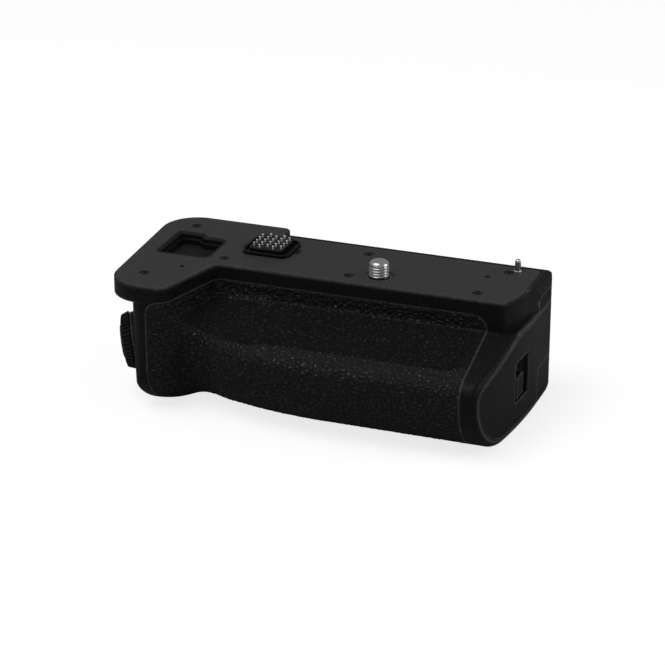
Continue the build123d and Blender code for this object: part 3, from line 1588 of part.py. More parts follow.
def all_parts():
    form = grip_form()
    skin = grip_skin(form)
    return {
        "main_casing": main_casing(form, skin),
        "grip_skin": skin,
        "top_plate": top_plate(),
        "label_panel": label_panel(),
        "pocket_liner": pocket_liner(),
        "plate_screws": plate_screws(),
        "connector_bezel": connector_bezel(),
        "connector_skirt": connector_skirt(),
        "connector_block": connector_block(),
        "contact_pins": contact_pins(),
        "guide_pin": guide_pin(),
        "camera_screw": camera_screw(),
        "screw_bushing": screw_bushing(),
        "screw_gear": screw_gear(),
        "screw_spring": screw_spring(),
        "gear_bracket": gear_bracket(),
        "attachment_wheel": attachment_wheel(),
        "wheel_axle": wheel_axle(),
        "axle_clip": axle_clip(),
        "tripod_socket": tripod_socket(),
        "base_cover": base_cover(),
        "base_screws": base_screws(),
        "battery_box": battery_box(),
        "battery": battery(),
        "battery_contacts": battery_contacts(),
        "flex_cable": flex_cable(),
        "battery_door": battery_door(),
        "door_hinge_pin": door_hinge_pin(),
        "door_latch": door_latch(),
        "dc_cord_cover": dc_cord_cover(),
        "dial_boss": dial_boss(form),
        "front_dial": front_dial(),
        "shutter_button": shutter_button(),
        "shutter_switch": shutter_switch(),
        "end_button": end_button(),
        "end_switch_board": end_switch_board(),
        "lock_lever": lock_lever(),
        "lever_clip": lever_clip(),
        "rear_cover": rear_cover(),
        "rear_screws": rear_screws(),
        "thumb_pad": thumb_pad(),
        "rear_dial": rear_dial(),
        "rear_dial_axle": rear_dial_axle(),
        "focus_button": rear_button(focus_button_x, focus_button_z, focus_button_r),
        "rear_function_button": rear_button(function_button_x, function_button_z, function_button_r),
        "joystick": joystick(),
        "joystick_ring": joystick_ring(),
        "joystick_base": joystick_base(),
        "rear_switch_board": rear_switch_board(),
        "main_board": main_board(),
        "board_screws": board_screws(),
    }


os.makedirs("parts", exist_ok=True)
for name, shape in all_parts().items():
    export_step(shape, f"parts/{name}.step")
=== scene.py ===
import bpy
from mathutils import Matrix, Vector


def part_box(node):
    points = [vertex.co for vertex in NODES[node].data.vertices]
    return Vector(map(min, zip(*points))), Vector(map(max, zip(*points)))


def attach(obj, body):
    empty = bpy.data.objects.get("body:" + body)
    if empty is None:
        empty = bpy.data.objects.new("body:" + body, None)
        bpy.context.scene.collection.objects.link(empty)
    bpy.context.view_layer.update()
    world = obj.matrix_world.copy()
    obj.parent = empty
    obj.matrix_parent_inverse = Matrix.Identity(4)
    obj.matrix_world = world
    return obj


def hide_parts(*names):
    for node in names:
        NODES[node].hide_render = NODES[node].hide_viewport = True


bl_info = {
    "name": "Camera battery grip",
    "version": (1, 0, 0),
    "blender": (4, 5, 0),
    "location": "View3D > Sidebar > Grip",
    "description": "Finishes, leather skin, threads, knurls and small hardware of a camera battery grip",
    "category": "Object",
}

import math

import bmesh
import bpy
from bpy.props import FloatProperty, FloatVectorProperty, IntProperty, PointerProperty
from mathutils import Matrix, Vector, noise
from mathutils.bvhtree import BVHTree

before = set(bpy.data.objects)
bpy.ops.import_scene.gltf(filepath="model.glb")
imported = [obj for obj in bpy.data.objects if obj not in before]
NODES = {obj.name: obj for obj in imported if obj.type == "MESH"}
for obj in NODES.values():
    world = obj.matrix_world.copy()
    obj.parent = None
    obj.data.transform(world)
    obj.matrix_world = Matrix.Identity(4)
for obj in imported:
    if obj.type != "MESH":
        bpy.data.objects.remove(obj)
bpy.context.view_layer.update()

MM = 0.001

# Viewing angle and distance
CAMERA_PLACE = (0.24828, -0.71364, 0.34987)
CAMERA_AZIMUTH = 20.295
CAMERA_ELEVATION = 23.387
CAMERA_LENS = 140.27
SENSOR_WIDTH = 36.0

# Places and sizes shared with the solids, in millimetres
DIAL_PLACE = (-75.6, -22.0, 18.3)
DIAL_YAW = 23.0
DIAL_PITCH = 7.3
DIAL_BORE = 6.26
DIAL_HEIGHT = 3.0
REAR_DIAL_PLACE = (-56.5, 21.4, 19.0)
REAR_DIAL_BORE = 1.06
REAR_DIAL_WIDTH = 5.0
CONNECTOR_CENTRE = (-40.05, 9.7)
PIN_COLUMN_PITCH = 2.33
PIN_ROW_PITCH = 2.54
PIN_COUNTS = (4, 5, 4, 5, 4)
SCREW_NECK = (38.4, 42.8)
SCREW_NECK_RADIUS = 2.6

# Painted shadow on the leather under the slab, which lies this way from it, and the corner where its crease
# melts
SLAB_SHADOW_SIDE = Vector((0.0, 0.8, 0.6))
SLAB_SHADOW_START = 0.6
SLAB_SHADOW_REACH = 40.0
SLAB_SHADOW_FADE = (22.0, 32.0)
SLAB_SHADOW_FACING = (-0.05, 0.15)
TROUGH_CORNER = ((-58.0, -36.0, 18.0), (-30.0, -6.0, 41.0))
SOFTENING_STEPS = 60

# Left between a pressed pin's foot and the end of its bore
TOUCH_GAP = 0.05


class GripFinishSettings(bpy.types.PropertyGroup):
    """Colours and surface sizes of the grip's finishes."""

    casing_colour: FloatVectorProperty(
        name="Casing", description="Colour of the moulded casing", subtype="COLOR",
        default=(0.0032, 0.0032, 0.0033), min=0.0, max=1.0)
    plate_colour: FloatVectorProperty(
        name="Top plate", description="Colour of the satin top plate", subtype="COLOR",
        default=(0.036, 0.036, 0.0362), min=0.0, max=1.0)
    rubber_colour: FloatVectorProperty(
        name="Grip rubber", description="Colour of the leather-grained rubber", subtype="COLOR",
        default=(0.0042, 0.0042, 0.004), min=0.0, max=1.0)
    # Painted highlight: this pale colour is laid along moulded edges to stand in for the light they catch
    edge_highlight_colour: FloatVectorProperty(
        name="Worn edge", description="Colour of the plastic where its edges are rubbed", subtype="COLOR",
        default=(0.11, 0.108, 0.104), min=0.0, max=1.0)
    texture_size: FloatProperty(
        name="Casing grain", description="Size of the fine grain moulded into the casing",
        default=0.55 * MM, min=0.05 * MM, max=2 * MM, unit="LENGTH")
    edge_radius: FloatProperty(
        name="Edge softness", description="Radius over which moulded edges catch the light",
        default=0.4 * MM, min=0.02 * MM, max=2 * MM, unit="LENGTH")


class GripLeatherSettings(bpy.types.PropertyGroup):
    """Relief of the leather-grained rubber."""

    mesh_size: FloatProperty(
        name="Mesh size", description="Edge length of the skin's mesh",
        default=0.42 * MM, min=0.3 * MM, max=2 * MM, unit="LENGTH")
    grain_size: FloatProperty(
        name="Grain size", description="Width of one pebble of the leather",
        default=1.5 * MM, min=0.5 * MM, max=6 * MM, unit="LENGTH")
    grain_depth: FloatProperty(
        name="Grain depth", description="Depth of the creases between pebbles",
        default=0.36 * MM, min=0.0, max=0.8 * MM, unit="LENGTH")


class GripHardwareSettings(bpy.types.PropertyGroup):
    """Sizes of threads, knurls and pins."""

    thread_pitch: FloatProperty(
        name="Thread pitch", description="Rise of the camera screw's thread in one turn",
        default=0.9 * MM, min=0.4 * MM, max=2 * MM, unit="LENGTH")
    thread_depth: FloatProperty(
        name="Thread depth", description="Depth of the camera screw's thread",
        default=0.32 * MM, min=0.05 * MM, max=0.8 * MM, unit="LENGTH")
    dial_ribs: IntProperty(
        name="Front dial ribs", description="Ribs round the front dial", default=42, min=8, max=120)
    rear_dial_ribs: IntProperty(
        name="Rear dial ribs", description="Ribs round the rear dial", default=40, min=8, max=120)
    pin_radius: FloatProperty(
        name="Contact radius", description="Radius of one contact pin",
        default=0.42 * MM, min=0.1 * MM, max=0.45 * MM, unit="LENGTH")


class GripStageSettings(bpy.types.PropertyGroup):
    """Light and floor."""

    key_power: FloatProperty(
        name="Overhead light", description="Power of the large lamp above and behind",
        default=4.4, min=0.0, max=50.0, unit="POWER")
    side_power: FloatProperty(
        name="Side light", description="Power of the soft lamp at the door end",
        default=2.2, min=0.0, max=50.0, unit="POWER")
    fill_power: FloatProperty(
        name="Front light", description="Power of the soft lamp beside the camera",
        default=0.25, min=0.0, max=50.0, unit="POWER")
    floor_colour: FloatVectorProperty(
        name="Floor", description="Colour of the floor", subtype="COLOR",
        default=(0.42, 0.42, 0.42), min=0.0, max=1.0)


class Recipe:
    """Node tree of one finish, built round its principled shader."""

    def __init__(self, name, colour, roughness, metallic=0.0, specular=0.3):
        self.material = bpy.data.materials.new(name)
        self.material.use_nodes = True
        self.tree = self.material.node_tree
        self.shader = self.tree.nodes["Principled BSDF"]
        inputs = self.shader.inputs
        inputs["Base Color"].default_value = (*colour, 1.0)
        inputs["Roughness"].default_value = roughness
        inputs["Metallic"].default_value = metallic
        inputs["Specular IOR Level"].default_value = specular
        self.place = self.add("ShaderNodeTexCoord").outputs["Object"]
        self.normal = None

    def add(self, kind, **settings):
        node = self.tree.nodes.new(kind)
        for key, value in settings.items():
            setattr(node, key, value)
        return node

    def fill(self, socket, value):
        if isinstance(value, bpy.types.NodeSocket):
            self.tree.links.new(value, socket)
        else:
            socket.default_value = value

    def stretched(self, scale):
        node = self.add("ShaderNodeMapping")
        self.fill(node.inputs["Vector"], self.place)
        node.inputs["Scale"].default_value = scale
        return node.outputs["Vector"]

    def noise(self, size, detail=2.0, place=None):
        node = self.add("ShaderNodeTexNoise")
        self.fill(node.inputs["Vector"], place or self.place)
        node.inputs["Scale"].default_value = 1.0 / size
        node.inputs["Detail"].default_value = detail
        return node.outputs["Fac"]

    def cells(self, size, feature="F1", place=None):
        node = self.add("ShaderNodeTexVoronoi", feature=feature)
        self.fill(node.inputs["Vector"], place or self.place)
        node.inputs["Scale"].default_value = 1.0 / size
        return node.outputs["Distance"]

    def warped(self, size, amount):
        """Object coordinates pushed about by a soft noise."""
        node = self.add("ShaderNodeTexNoise")
        self.fill(node.inputs["Vector"], self.place)
        node.inputs["Scale"].default_value = 1.0 / size
        push = self.add("ShaderNodeVectorMath", operation="MULTIPLY_ADD")
        self.fill(push.inputs[0], node.outputs["Color"])
        push.inputs[1].default_value = (amount, amount, amount)
        self.fill(push.inputs[2], self.place)
        return push.outputs[0]

    def ranged(self, source, low, high, start=0.0, end=1.0):
        node = self.add("ShaderNodeMapRange")
        for name, value in (("Value", source), ("From Min", start), ("From Max", end),
                            ("To Min", low), ("To Max", high)):
            self.fill(node.inputs[name], value)
        return node.outputs["Result"]

    def sum(self, first, second, operation="ADD"):
        node = self.add("ShaderNodeMath", operation=operation)
        self.fill(node.inputs[0], first)
        self.fill(node.inputs[1], second)
        return node.outputs["Value"]

    def mixed(self, share, first, second):
        node = self.add("ShaderNodeMix", data_type="RGBA")
        self.fill(node.inputs["Factor"], share)
        for index, value in ((6, first), (7, second)):
            self.fill(node.inputs[index], (*value, 1.0) if isinstance(value, tuple) else value)
        return node.outputs[2]

    def attribute(self, name):
        node = self.add("ShaderNodeAttribute", attribute_name=name)
        return node.outputs["Fac"]

    def bumped(self, height, depth, strength=1.0):
        node = self.add("ShaderNodeBump")
        self.fill(node.inputs["Height"], height)
        node.inputs["Distance"].default_value = depth
        node.inputs["Strength"].default_value = strength
        if self.normal is not None:
            self.fill(node.inputs["Normal"], self.normal)
        self.normal = node.outputs["Normal"]

    def rounded(self, radius):
        """Rounds the edges' shading and returns how near each point is to an outer edge."""
        bevel = self.add("ShaderNodeBevel", samples=6)
        bevel.inputs["Radius"].default_value = radius
        self.normal = bevel.outputs["Normal"]
        inner = self.add("ShaderNodeAmbientOcclusion", samples=10, inside=True, only_local=True)
        inner.inputs["Distance"].default_value = 3.2 * radius
        return self.ranged(inner.outputs["AO"], 1.0, 0.0, 0.6, 0.8)

    def colour(self, source):
        self.fill(self.shader.inputs["Base Color"], source)

    def roughness(self, source):
        self.fill(self.shader.inputs["Roughness"], source)

    def done(self):
        if self.normal is not None:
            self.fill(self.shader.inputs["Normal"], self.normal)
        return self.material


def moulded_finish(name, colour, edge_highlight, grain, edge, roughness=0.5, depth=0.07 * MM, specular=0.16):
    """Textured injection moulding: fine grain, faint colour drift and a painted highlight along the edges."""
    recipe = Recipe(name, colour, roughness, specular=specular)
    near_edge = recipe.rounded(edge)
    fine = recipe.noise(grain, 3.0)
    drift = recipe.noise(9 * MM, 3.0)
    # Painted highlight: the pale edge colour along outer edges, broken up by noise
    edge_highlight_share = recipe.sum(near_edge, recipe.ranged(recipe.noise(1.3 * MM, 4.0), 0.45, 1.0, 0.35, 0.65), "MULTIPLY")
    pale = tuple(min(1.0, c * 5.0) for c in colour)
    toned = recipe.mixed(recipe.ranged(fine, 0.0, 1.0, 0.48, 0.72), colour, pale)
    recipe.colour(recipe.mixed(edge_highlight_share, toned, edge_highlight))
    spread = recipe.ranged(fine, roughness - 0.06, roughness + 0.08)
    recipe.roughness(recipe.sum(recipe.ranged(drift, -0.04, 0.05), spread))
    recipe.bumped(fine, depth)
    return recipe.done()


def satin_finish(name, colour, edge_highlight, edge):
    """Painted metal plate with a fine satin grain."""
    recipe = Recipe(name, colour, 0.5, specular=0.2)
    near_edge = recipe.rounded(edge)
    speck = recipe.noise(0.34 * MM, 2.0)
    drift = recipe.noise(22 * MM, 2.0)
    pale = tuple(c * 1.7 for c in colour)
    toned = recipe.mixed(recipe.ranged(speck, 0.0, 1.0, 0.4, 0.75), colour, pale)
    # Painted highlight: a faint share of the pale edge colour along the plate's edges
    recipe.colour(recipe.mixed(recipe.sum(near_edge, 0.3, "MULTIPLY"), toned, edge_highlight))
    recipe.roughness(recipe.sum(recipe.ranged(drift, -0.03, 0.04), recipe.ranged(speck, 0.44, 0.56)))
    recipe.bumped(speck, 0.008 * MM)
    return recipe.done()


def leather_finish(name, colour, grain_size):
    """Rubber with a leather grain: duller creases with painted shade between shinier pebbles with a painted
    highlight, and painted shadow under the slab.
    """
    recipe = Recipe(name, colour, 0.5, specular=0.34)
    height = recipe.attribute("grain")
    painted_slab_shadow = recipe.attribute("painted_slab_shadow")
    pores = recipe.cells(grain_size * 0.23, "F1")
    cracks = recipe.cells(1.1 * grain_size, "DISTANCE_TO_EDGE",
                          recipe.warped(1.6 * grain_size, 0.9 * grain_size))
    pebbles = recipe.ranged(cracks, 0.0, 1.0, 0.02, 0.3)
    fine = recipe.noise(grain_size * 0.12, 3.0)
    # Painted light: relief gives pebble tops a paler colour as a painted highlight and creases a darker one as
    # painted shade
    pale = tuple(c * 3.6 for c in colour)
    painted_shade_colour = tuple(c * 0.3 for c in colour)
    relief = recipe.sum(recipe.ranged(height, 0.5, 1.0, 0.1, 0.6), pebbles, "MULTIPLY")
    toned = recipe.mixed(relief, painted_shade_colour, pale)
    # Painted shadow: where the slab roofs the rubber over, its colour goes towards the painted shade colour
    recipe.colour(recipe.mixed(recipe.sum(painted_slab_shadow, 0.85, "MULTIPLY"), toned, painted_shade_colour))
    gloss = recipe.sum(recipe.ranged(relief, 0.66, 0.36, 0.1, 0.9), recipe.ranged(fine, -0.05, 0.06))
    recipe.roughness(recipe.sum(gloss, recipe.ranged(painted_slab_shadow, 0.0, 0.3)))
    recipe.bumped(pebbles, 0.3 * MM)
    recipe.bumped(pores, 0.008 * MM)
    recipe.bumped(fine, 0.004 * MM)
    return recipe.done()


def metal_finish(name, colour, roughness, drift, scratches=0.004 * MM, edge=0.1 * MM):
    """Turned or plated metal with faint handling marks."""
    recipe = Recipe(name, colour, roughness, metallic=1.0, specular=0.5)
    recipe.rounded(edge)
    fine = recipe.noise(0.22 * MM, 4.0, recipe.stretched((1.0, 1.0, 6.0)))
    soft = recipe.noise(1.8 * MM, 2.0)
    dull = tuple(c * 0.72 for c in colour)
    recipe.colour(recipe.mixed(recipe.ranged(soft, 0.0, 0.6, 0.4, 0.75), colour, dull))
    recipe.roughness(recipe.sum(recipe.ranged(soft, 0.0, drift),
                                recipe.ranged(fine, roughness, roughness + 0.08)))
    recipe.bumped(fine, scratches)
    return recipe.done()


def board_finish(name):
    """Solder mask with the faint relief of its copper tracks."""
    recipe = Recipe(name, (0.01, 0.09, 0.035), 0.34, specular=0.5)
    tracks = recipe.cells(2.2 * MM, "F1", recipe.stretched((1.0, 2.6, 1.0)))
    lit = recipe.ranged(tracks, 0.0, 1.0, 0.32, 0.36)
    recipe.colour(recipe.mixed(lit, (0.008, 0.07, 0.028), (0.016, 0.13, 0.05)))
    recipe.roughness(recipe.ranged(recipe.noise(3 * MM), 0.28, 0.42))
    recipe.bumped(lit, 0.03 * MM)
    return recipe.done()


def film_finish(name):
    """Amber polyimide film with conductors running along it."""
    recipe = Recipe(name, (0.30, 0.10, 0.015), 0.3, specular=0.5)
    wave = recipe.add("ShaderNodeTexWave", wave_type="BANDS", bands_direction="Y")
    recipe.fill(wave.inputs["Vector"], recipe.place)
    wave.inputs["Scale"].default_value = 300.0
    lines = recipe.ranged(wave.outputs["Fac"], 0.0, 1.0, 0.4, 0.6)
    recipe.colour(recipe.mixed(lines, (0.32, 0.11, 0.018), (0.16, 0.05, 0.01)))
    recipe.roughness(recipe.ranged(recipe.noise(2 * MM), 0.24, 0.38))
    recipe.bumped(lines, 0.02 * MM)
    return recipe.done()


def finish(name):
    """The finish made for one material slot of the solids."""
    return bpy.data.materials["grip_" + name]


def as_piece(name, mesh, body, slot, replaced=()):
    """Puts a finished mesh into the scene as a piece that rides on one body."""
    piece = bpy.data.objects.new(name, mesh)
    bpy.context.scene.collection.objects.link(piece)
    if not mesh.materials:
        mesh.materials.append(finish(slot))
    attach(piece, body)
    if replaced:
        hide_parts(*replaced)
    return piece


def shade(mesh, angle=35.0):
    """Smooth faces with creases kept sharp."""
    mesh.shade_smooth()
    mesh.set_sharp_from_angle(angle=math.radians(angle))


def mesh_from(name, build):
    """Runs a bmesh builder and returns a clean mesh with its faces pointing outwards."""
    work = bmesh.new()
    build(work)
    bmesh.ops.remove_doubles(work, verts=work.verts, dist=0.001 * MM)
    bmesh.ops.recalc_face_normals(work, faces=work.faces)
    mesh = bpy.data.meshes.new(name)
    work.to_mesh(mesh)
    work.free()
    shade(mesh)
    return mesh


def turned_ring(work, profile, sides, radius_at=None):
    """Closed turned form round the local Z axis, from an open profile of (radius, height) points."""
    rows = []
    for radius, height in profile:
        if radius <= 0.0:
            rows.append([work.verts.new((0.0, 0.0, height))] * sides)
            continue
        row = []
        for side in range(sides):
            angle = 2 * math.pi * side / sides
            reach = radius if radius_at is None else radius_at(radius, height, angle)
            row.append(work.verts.new((reach * math.cos(angle), reach * math.sin(angle), height)))
        rows.append(row)
    for low, high in zip(rows, rows[1:]):
        for side in range(sides):
            after = (side + 1) % sides
            corners = []
            for corner in (low[side], low[after], high[after], high[side]):
                if corner not in corners:
                    corners.append(corner)
            if len(corners) > 2:
                work.faces.new(corners)
    return rows


def scaled(points):
    return [(radius * MM, height * MM) for radius, height in points]


def tree_with(name, sockets):
    """Empty Geometry Nodes tree with named inputs and one geometry output."""
    tree = bpy.data.node_groups.new(name, "GeometryNodeTree")
    tree.interface.new_socket("Geometry", in_out="INPUT", socket_type="NodeSocketGeometry")
    for label, kind in sockets:
        tree.interface.new_socket(label, in_out="INPUT", socket_type="NodeSocket" + kind)
    tree.interface.new_socket("Geometry", in_out="OUTPUT", socket_type="NodeSocketGeometry")
    return tree


def nodes_in(tree):
    """Shorthand that adds a node to a tree and fills its inputs."""
    def add(kind, fills=(), **settings):
        node = tree.nodes.new(kind)
        for key, value in settings.items():
            setattr(node, key, value)
        for key, value in dict(fills).items():
            if isinstance(value, bpy.types.NodeSocket):
                tree.links.new(value, node.inputs[key])
            else:
                node.inputs[key].default_value = value
        return node
    return add


def rib_tree():
    """Sets ribs evenly round a turned body."""
    tree = tree_with("grip_ribs_round_body", (("Rib", "Object"), ("Ribs", "Int"), ("Radius", "Float"),
                                              ("Finish", "Material")))
    add = nodes_in(tree)
    given = add("NodeGroupInput").outputs
    circle = add("GeometryNodeMeshCircle", {"Vertices": given["Ribs"], "Radius": given["Radius"]})
    rib = add("GeometryNodeObjectInfo", {"Object": given["Rib"]})
    place = add("GeometryNodeInputPosition")
    turn = add("FunctionNodeAlignRotationToVector", {"Vector": place.outputs[0]}, axis="X", pivot_axis="Z")
    copies = add("GeometryNodeInstanceOnPoints",
                 {"Points": circle.outputs[0], "Instance": rib.outputs["Geometry"],
                  "Rotation": turn.outputs[0]})
    joined = add("GeometryNodeJoinGeometry")
    tree.links.new(given["Geometry"], joined.inputs[0])
    tree.links.new(copies.outputs[0], joined.inputs[0])
    real = add("GeometryNodeRealizeInstances", {"Geometry": joined.outputs[0]})
    coloured = add("GeometryNodeSetMaterial", {"Geometry": real.outputs[0], "Material": given["Finish"]})
    add("NodeGroupOutput", {0: coloured.outputs[0]})
    return tree


def scatter_tree():
    """Sets one shape on every point of a mesh."""
    tree = tree_with("grip_shape_on_places", (("Shape", "Object"), ("Scale", "Float"), ("Turn", "Rotation"),
                                              ("Finish", "Material")))
    add = nodes_in(tree)
    given = add("NodeGroupInput").outputs
    shape = add("GeometryNodeObjectInfo", {"Object": given["Shape"]})
    copies = add("GeometryNodeInstanceOnPoints",
                 {"Points": given["Geometry"], "Instance": shape.outputs["Geometry"],
                  "Rotation": given["Turn"], "Scale": given["Scale"]})
    real = add("GeometryNodeRealizeInstances", {"Geometry": copies.outputs[0]})
    coloured = add("GeometryNodeSetMaterial", {"Geometry": real.outputs[0], "Material": given["Finish"]})
    add("NodeGroupOutput", {0: coloured.outputs[0]})
    return tree


def grown(name, mesh, tree, values):
    """Plain mesh that a Geometry Nodes tree makes from a mesh and its named inputs."""
    host = bpy.data.objects.new(name + "_host", mesh)
    bpy.context.scene.collection.objects.link(host)
    modifier = host.modifiers.new("grown", "NODES")
    modifier.node_group = tree
    for item in tree.interface.items_tree:
        if item.in_out == "INPUT" and item.name in values:
            modifier[item.identifier] = values[item.name]
    bpy.context.view_layer.update()
    result = bpy.data.meshes.new_from_object(host.evaluated_get(bpy.context.evaluated_depsgraph_get()))
    host.modifiers.remove(modifier)
    bpy.data.objects.remove(host)
    result.name = name
    return result


def helper_object(name, mesh):
    """Object that only feeds a Geometry Nodes tree, and is removed afterwards."""
    helper = bpy.data.objects.new(name, mesh)
    bpy.context.scene.collection.objects.link(helper)
    return helper


def points_mesh(name, places):
    mesh = bpy.data.meshes.new(name)
    mesh.from_pydata([tuple(value * MM for value in place) for place in places], [], [])
    return mesh


def merged_copy(node):
    """Copy of a solid's mesh with its loose triangles joined up."""
    work = bmesh.new()
    work.from_mesh(NODES[node].data)
    bmesh.ops.remove_doubles(work, verts=work.verts, dist=0.002 * MM)
    mesh = bpy.data.meshes.new(node + "_dense")
    work.to_mesh(mesh)
    work.free()
    return mesh


def remeshed(node, size):
    """Even, closed mesh of a solid, with the given edge length."""
    host = bpy.data.objects.new(node + "_host", merged_copy(node))
    bpy.context.scene.collection.objects.link(host)
    modifier = host.modifiers.new("even", "REMESH")
    modifier.mode = "VOXEL"
    modifier.voxel_size = size
    bpy.context.view_layer.update()
    mesh = bpy.data.meshes.new_from_object(host.evaluated_get(bpy.context.evaluated_depsgraph_get()))
    host.modifiers.remove(modifier)
    bpy.data.objects.remove(host)
    mesh.materials.clear()
    return mesh


def smooth_step(low, high, value):
    share = min(1.0, max(0.0, (value - low) / (high - low)))
    return share * share * (3.0 - 2.0 * share)


def pebble_height(place, size):
    """Height of the leather grain at a point, from 0 in a crease to 1 on a pebble."""
    local = place / size
    bent = local + 0.38 * noise.noise_vector(local * 0.9) + 0.12 * noise.noise_vector(local * 2.7)
    distances, _ = noise.voronoi(bent)
    crease = smooth_step(0.02, 0.34, distances[1] - distances[0])
    swell = 0.5 + 0.5 * noise.noise(local * 0.55)
    fine = 0.5 + 0.5 * noise.noise(local * 3.1)
    return crease * (0.62 + 0.26 * swell + 0.12 * fine)


def soften(mesh, carrier, low, high):
    """Melts the crease where the trough runs out, on faces that stand clear of the carrier."""
    work = bmesh.new()
    work.from_mesh(mesh)
    low, high = Vector(low) * MM, Vector(high) * MM
    inside = [vert for vert in work.verts
              if all(a < value < b for a, value, b in zip(low, vert.co, high))
              and carrier.find_nearest(vert.co)[3] > 0.9 * MM]
    for _ in range(SOFTENING_STEPS):
        bmesh.ops.smooth_vert(work, verts=inside, factor=0.5,
                              use_axis_x=True, use_axis_y=True, use_axis_z=True)
    work.to_mesh(mesh)
    work.free()


def leather_skin(node, mesh_size, grain_size, grain_depth, behind):
    """Rubber part with a leather grain pressed into the faces that stand clear of what carries it."""
    mesh = remeshed(node, mesh_size)
    mesh.name = node + "_leather"
    carrier = merged_copy(behind)
    tree = BVHTree.FromPolygons([v.co.copy() for v in carrier.vertices],
                                [tuple(p.vertices) for p in carrier.polygons])
    bpy.data.meshes.remove(carrier)
    soften(mesh, tree, *TROUGH_CORNER)
    grain = mesh.attributes.new("grain", "FLOAT", "POINT")
    # Painted shadow: this attribute holds how far each vertex lies under the slab, and it darkens the rubber's
    # colour
    painted_slab_shadow = mesh.attributes.new("painted_slab_shadow", "FLOAT", "POINT")
    normals = [v.normal.copy() for v in mesh.vertices]
    near, far = (distance * MM for distance in SLAB_SHADOW_FADE)
    for vertex, normal in zip(mesh.vertices, normals):
        gap = tree.find_nearest(vertex.co)[3]
        share = smooth_step(0.35 * MM, 0.95 * MM, gap)
        height = pebble_height(vertex.co, grain_size)
        grain.data[vertex.index].value = height
        # Painted shadow share: vertices that face the slab and whose way towards it is roofed within reach
        roof = tree.ray_cast(vertex.co + normal * SLAB_SHADOW_START * MM, SLAB_SHADOW_SIDE, SLAB_SHADOW_REACH * MM)[3]
        facing = smooth_step(*SLAB_SHADOW_FACING, normal.dot(SLAB_SHADOW_SIDE))
        open_sky = 1.0 if roof is None else smooth_step(near, far, roof)
        painted_slab_shadow.data[vertex.index].value = facing * (1.0 - open_sky)
        if share > 0.0:
            vertex.co += normal * (share * grain_depth * (height - 0.72))
    mesh.shade_smooth()
    return mesh


class GRIP_OT_finishes(bpy.types.Operator):
    """Make the finishes and give them to the solids"""

    bl_idname = "grip.finishes"
    bl_label = "Finishes"

    def execute(self, context):
        s = context.scene.grip_finish
        casing, plate, rubber = tuple(s.casing_colour), tuple(s.plate_colour), tuple(s.rubber_colour)
        edge_highlight, grain, edge = tuple(s.edge_highlight_colour), s.texture_size, s.edge_radius
        # dull is a dimmer painted edge highlight for the darker moulded parts
        dull = tuple(0.16 * c for c in edge_highlight)
        moulded_finish("grip_casing_plastic", casing, edge_highlight, grain, edge)
        satin_finish("grip_satin_plate", plate, edge_highlight, 0.4 * edge)
        leather_finish("grip_grip_rubber", rubber, context.scene.grip_leather.grain_size)
        moulded_finish("grip_dark_rubber", (0.004, 0.004, 0.004), dull, 0.3 * MM, edge, 0.62)
        moulded_finish("grip_inner_plastic", (0.012, 0.012, 0.013), dull, 0.5 * MM, 0.6 * edge, 0.48)
        moulded_finish("grip_dial_plastic", (0.003, 0.003, 0.0032), dull, 0.25 * MM, 0.5 * edge, 0.38,
                       0.008 * MM)
        metal_finish("grip_bright_metal", (0.78, 0.77, 0.75), 0.16, 0.1)
        metal_finish("grip_screw_steel", (0.09, 0.088, 0.085), 0.34, 0.12)
        metal_finish("grip_dark_metal", (0.13, 0.13, 0.135), 0.38, 0.14)
        metal_finish("grip_brass", (0.72, 0.50, 0.22), 0.28, 0.12)
        film_finish("grip_flex_film")
        board_finish("grip_board_green")
        moulded_finish("grip_contact_black", (0.0022, 0.0022, 0.0023), dull, 0.3 * MM, 0.5 * edge, 0.42)
        for node in NODES.values():
            for holder in node.material_slots:
                holder.material = finish(holder.material.name)
        for name in ("connector_block", "connector_skirt", "connector_bezel"):
            NODES[name].material_slots[0].material = finish("contact_black")
        return {"FINISHED"}


class GRIP_OT_leather(bpy.types.Operator):
    """Press the leather grain into the grip skin and the thumb pad"""

    bl_idname = "grip.leather"
    bl_label = "Leather skin"

    def execute(self, context):
        s = context.scene.grip_leather
        skin = leather_skin("grip_skin", s.mesh_size, s.grain_size, s.grain_depth, "main_casing")
        as_piece("leather_skin", skin, "casing", "grip_rubber", ("grip_skin",))
        pad = leather_skin("thumb_pad", s.mesh_size, s.grain_size, 0.8 * s.grain_depth, "rear_cover")
        as_piece("leather_thumb_pad", pad, "casing", "grip_rubber", ("thumb_pad",))
        return {"FINISHED"}


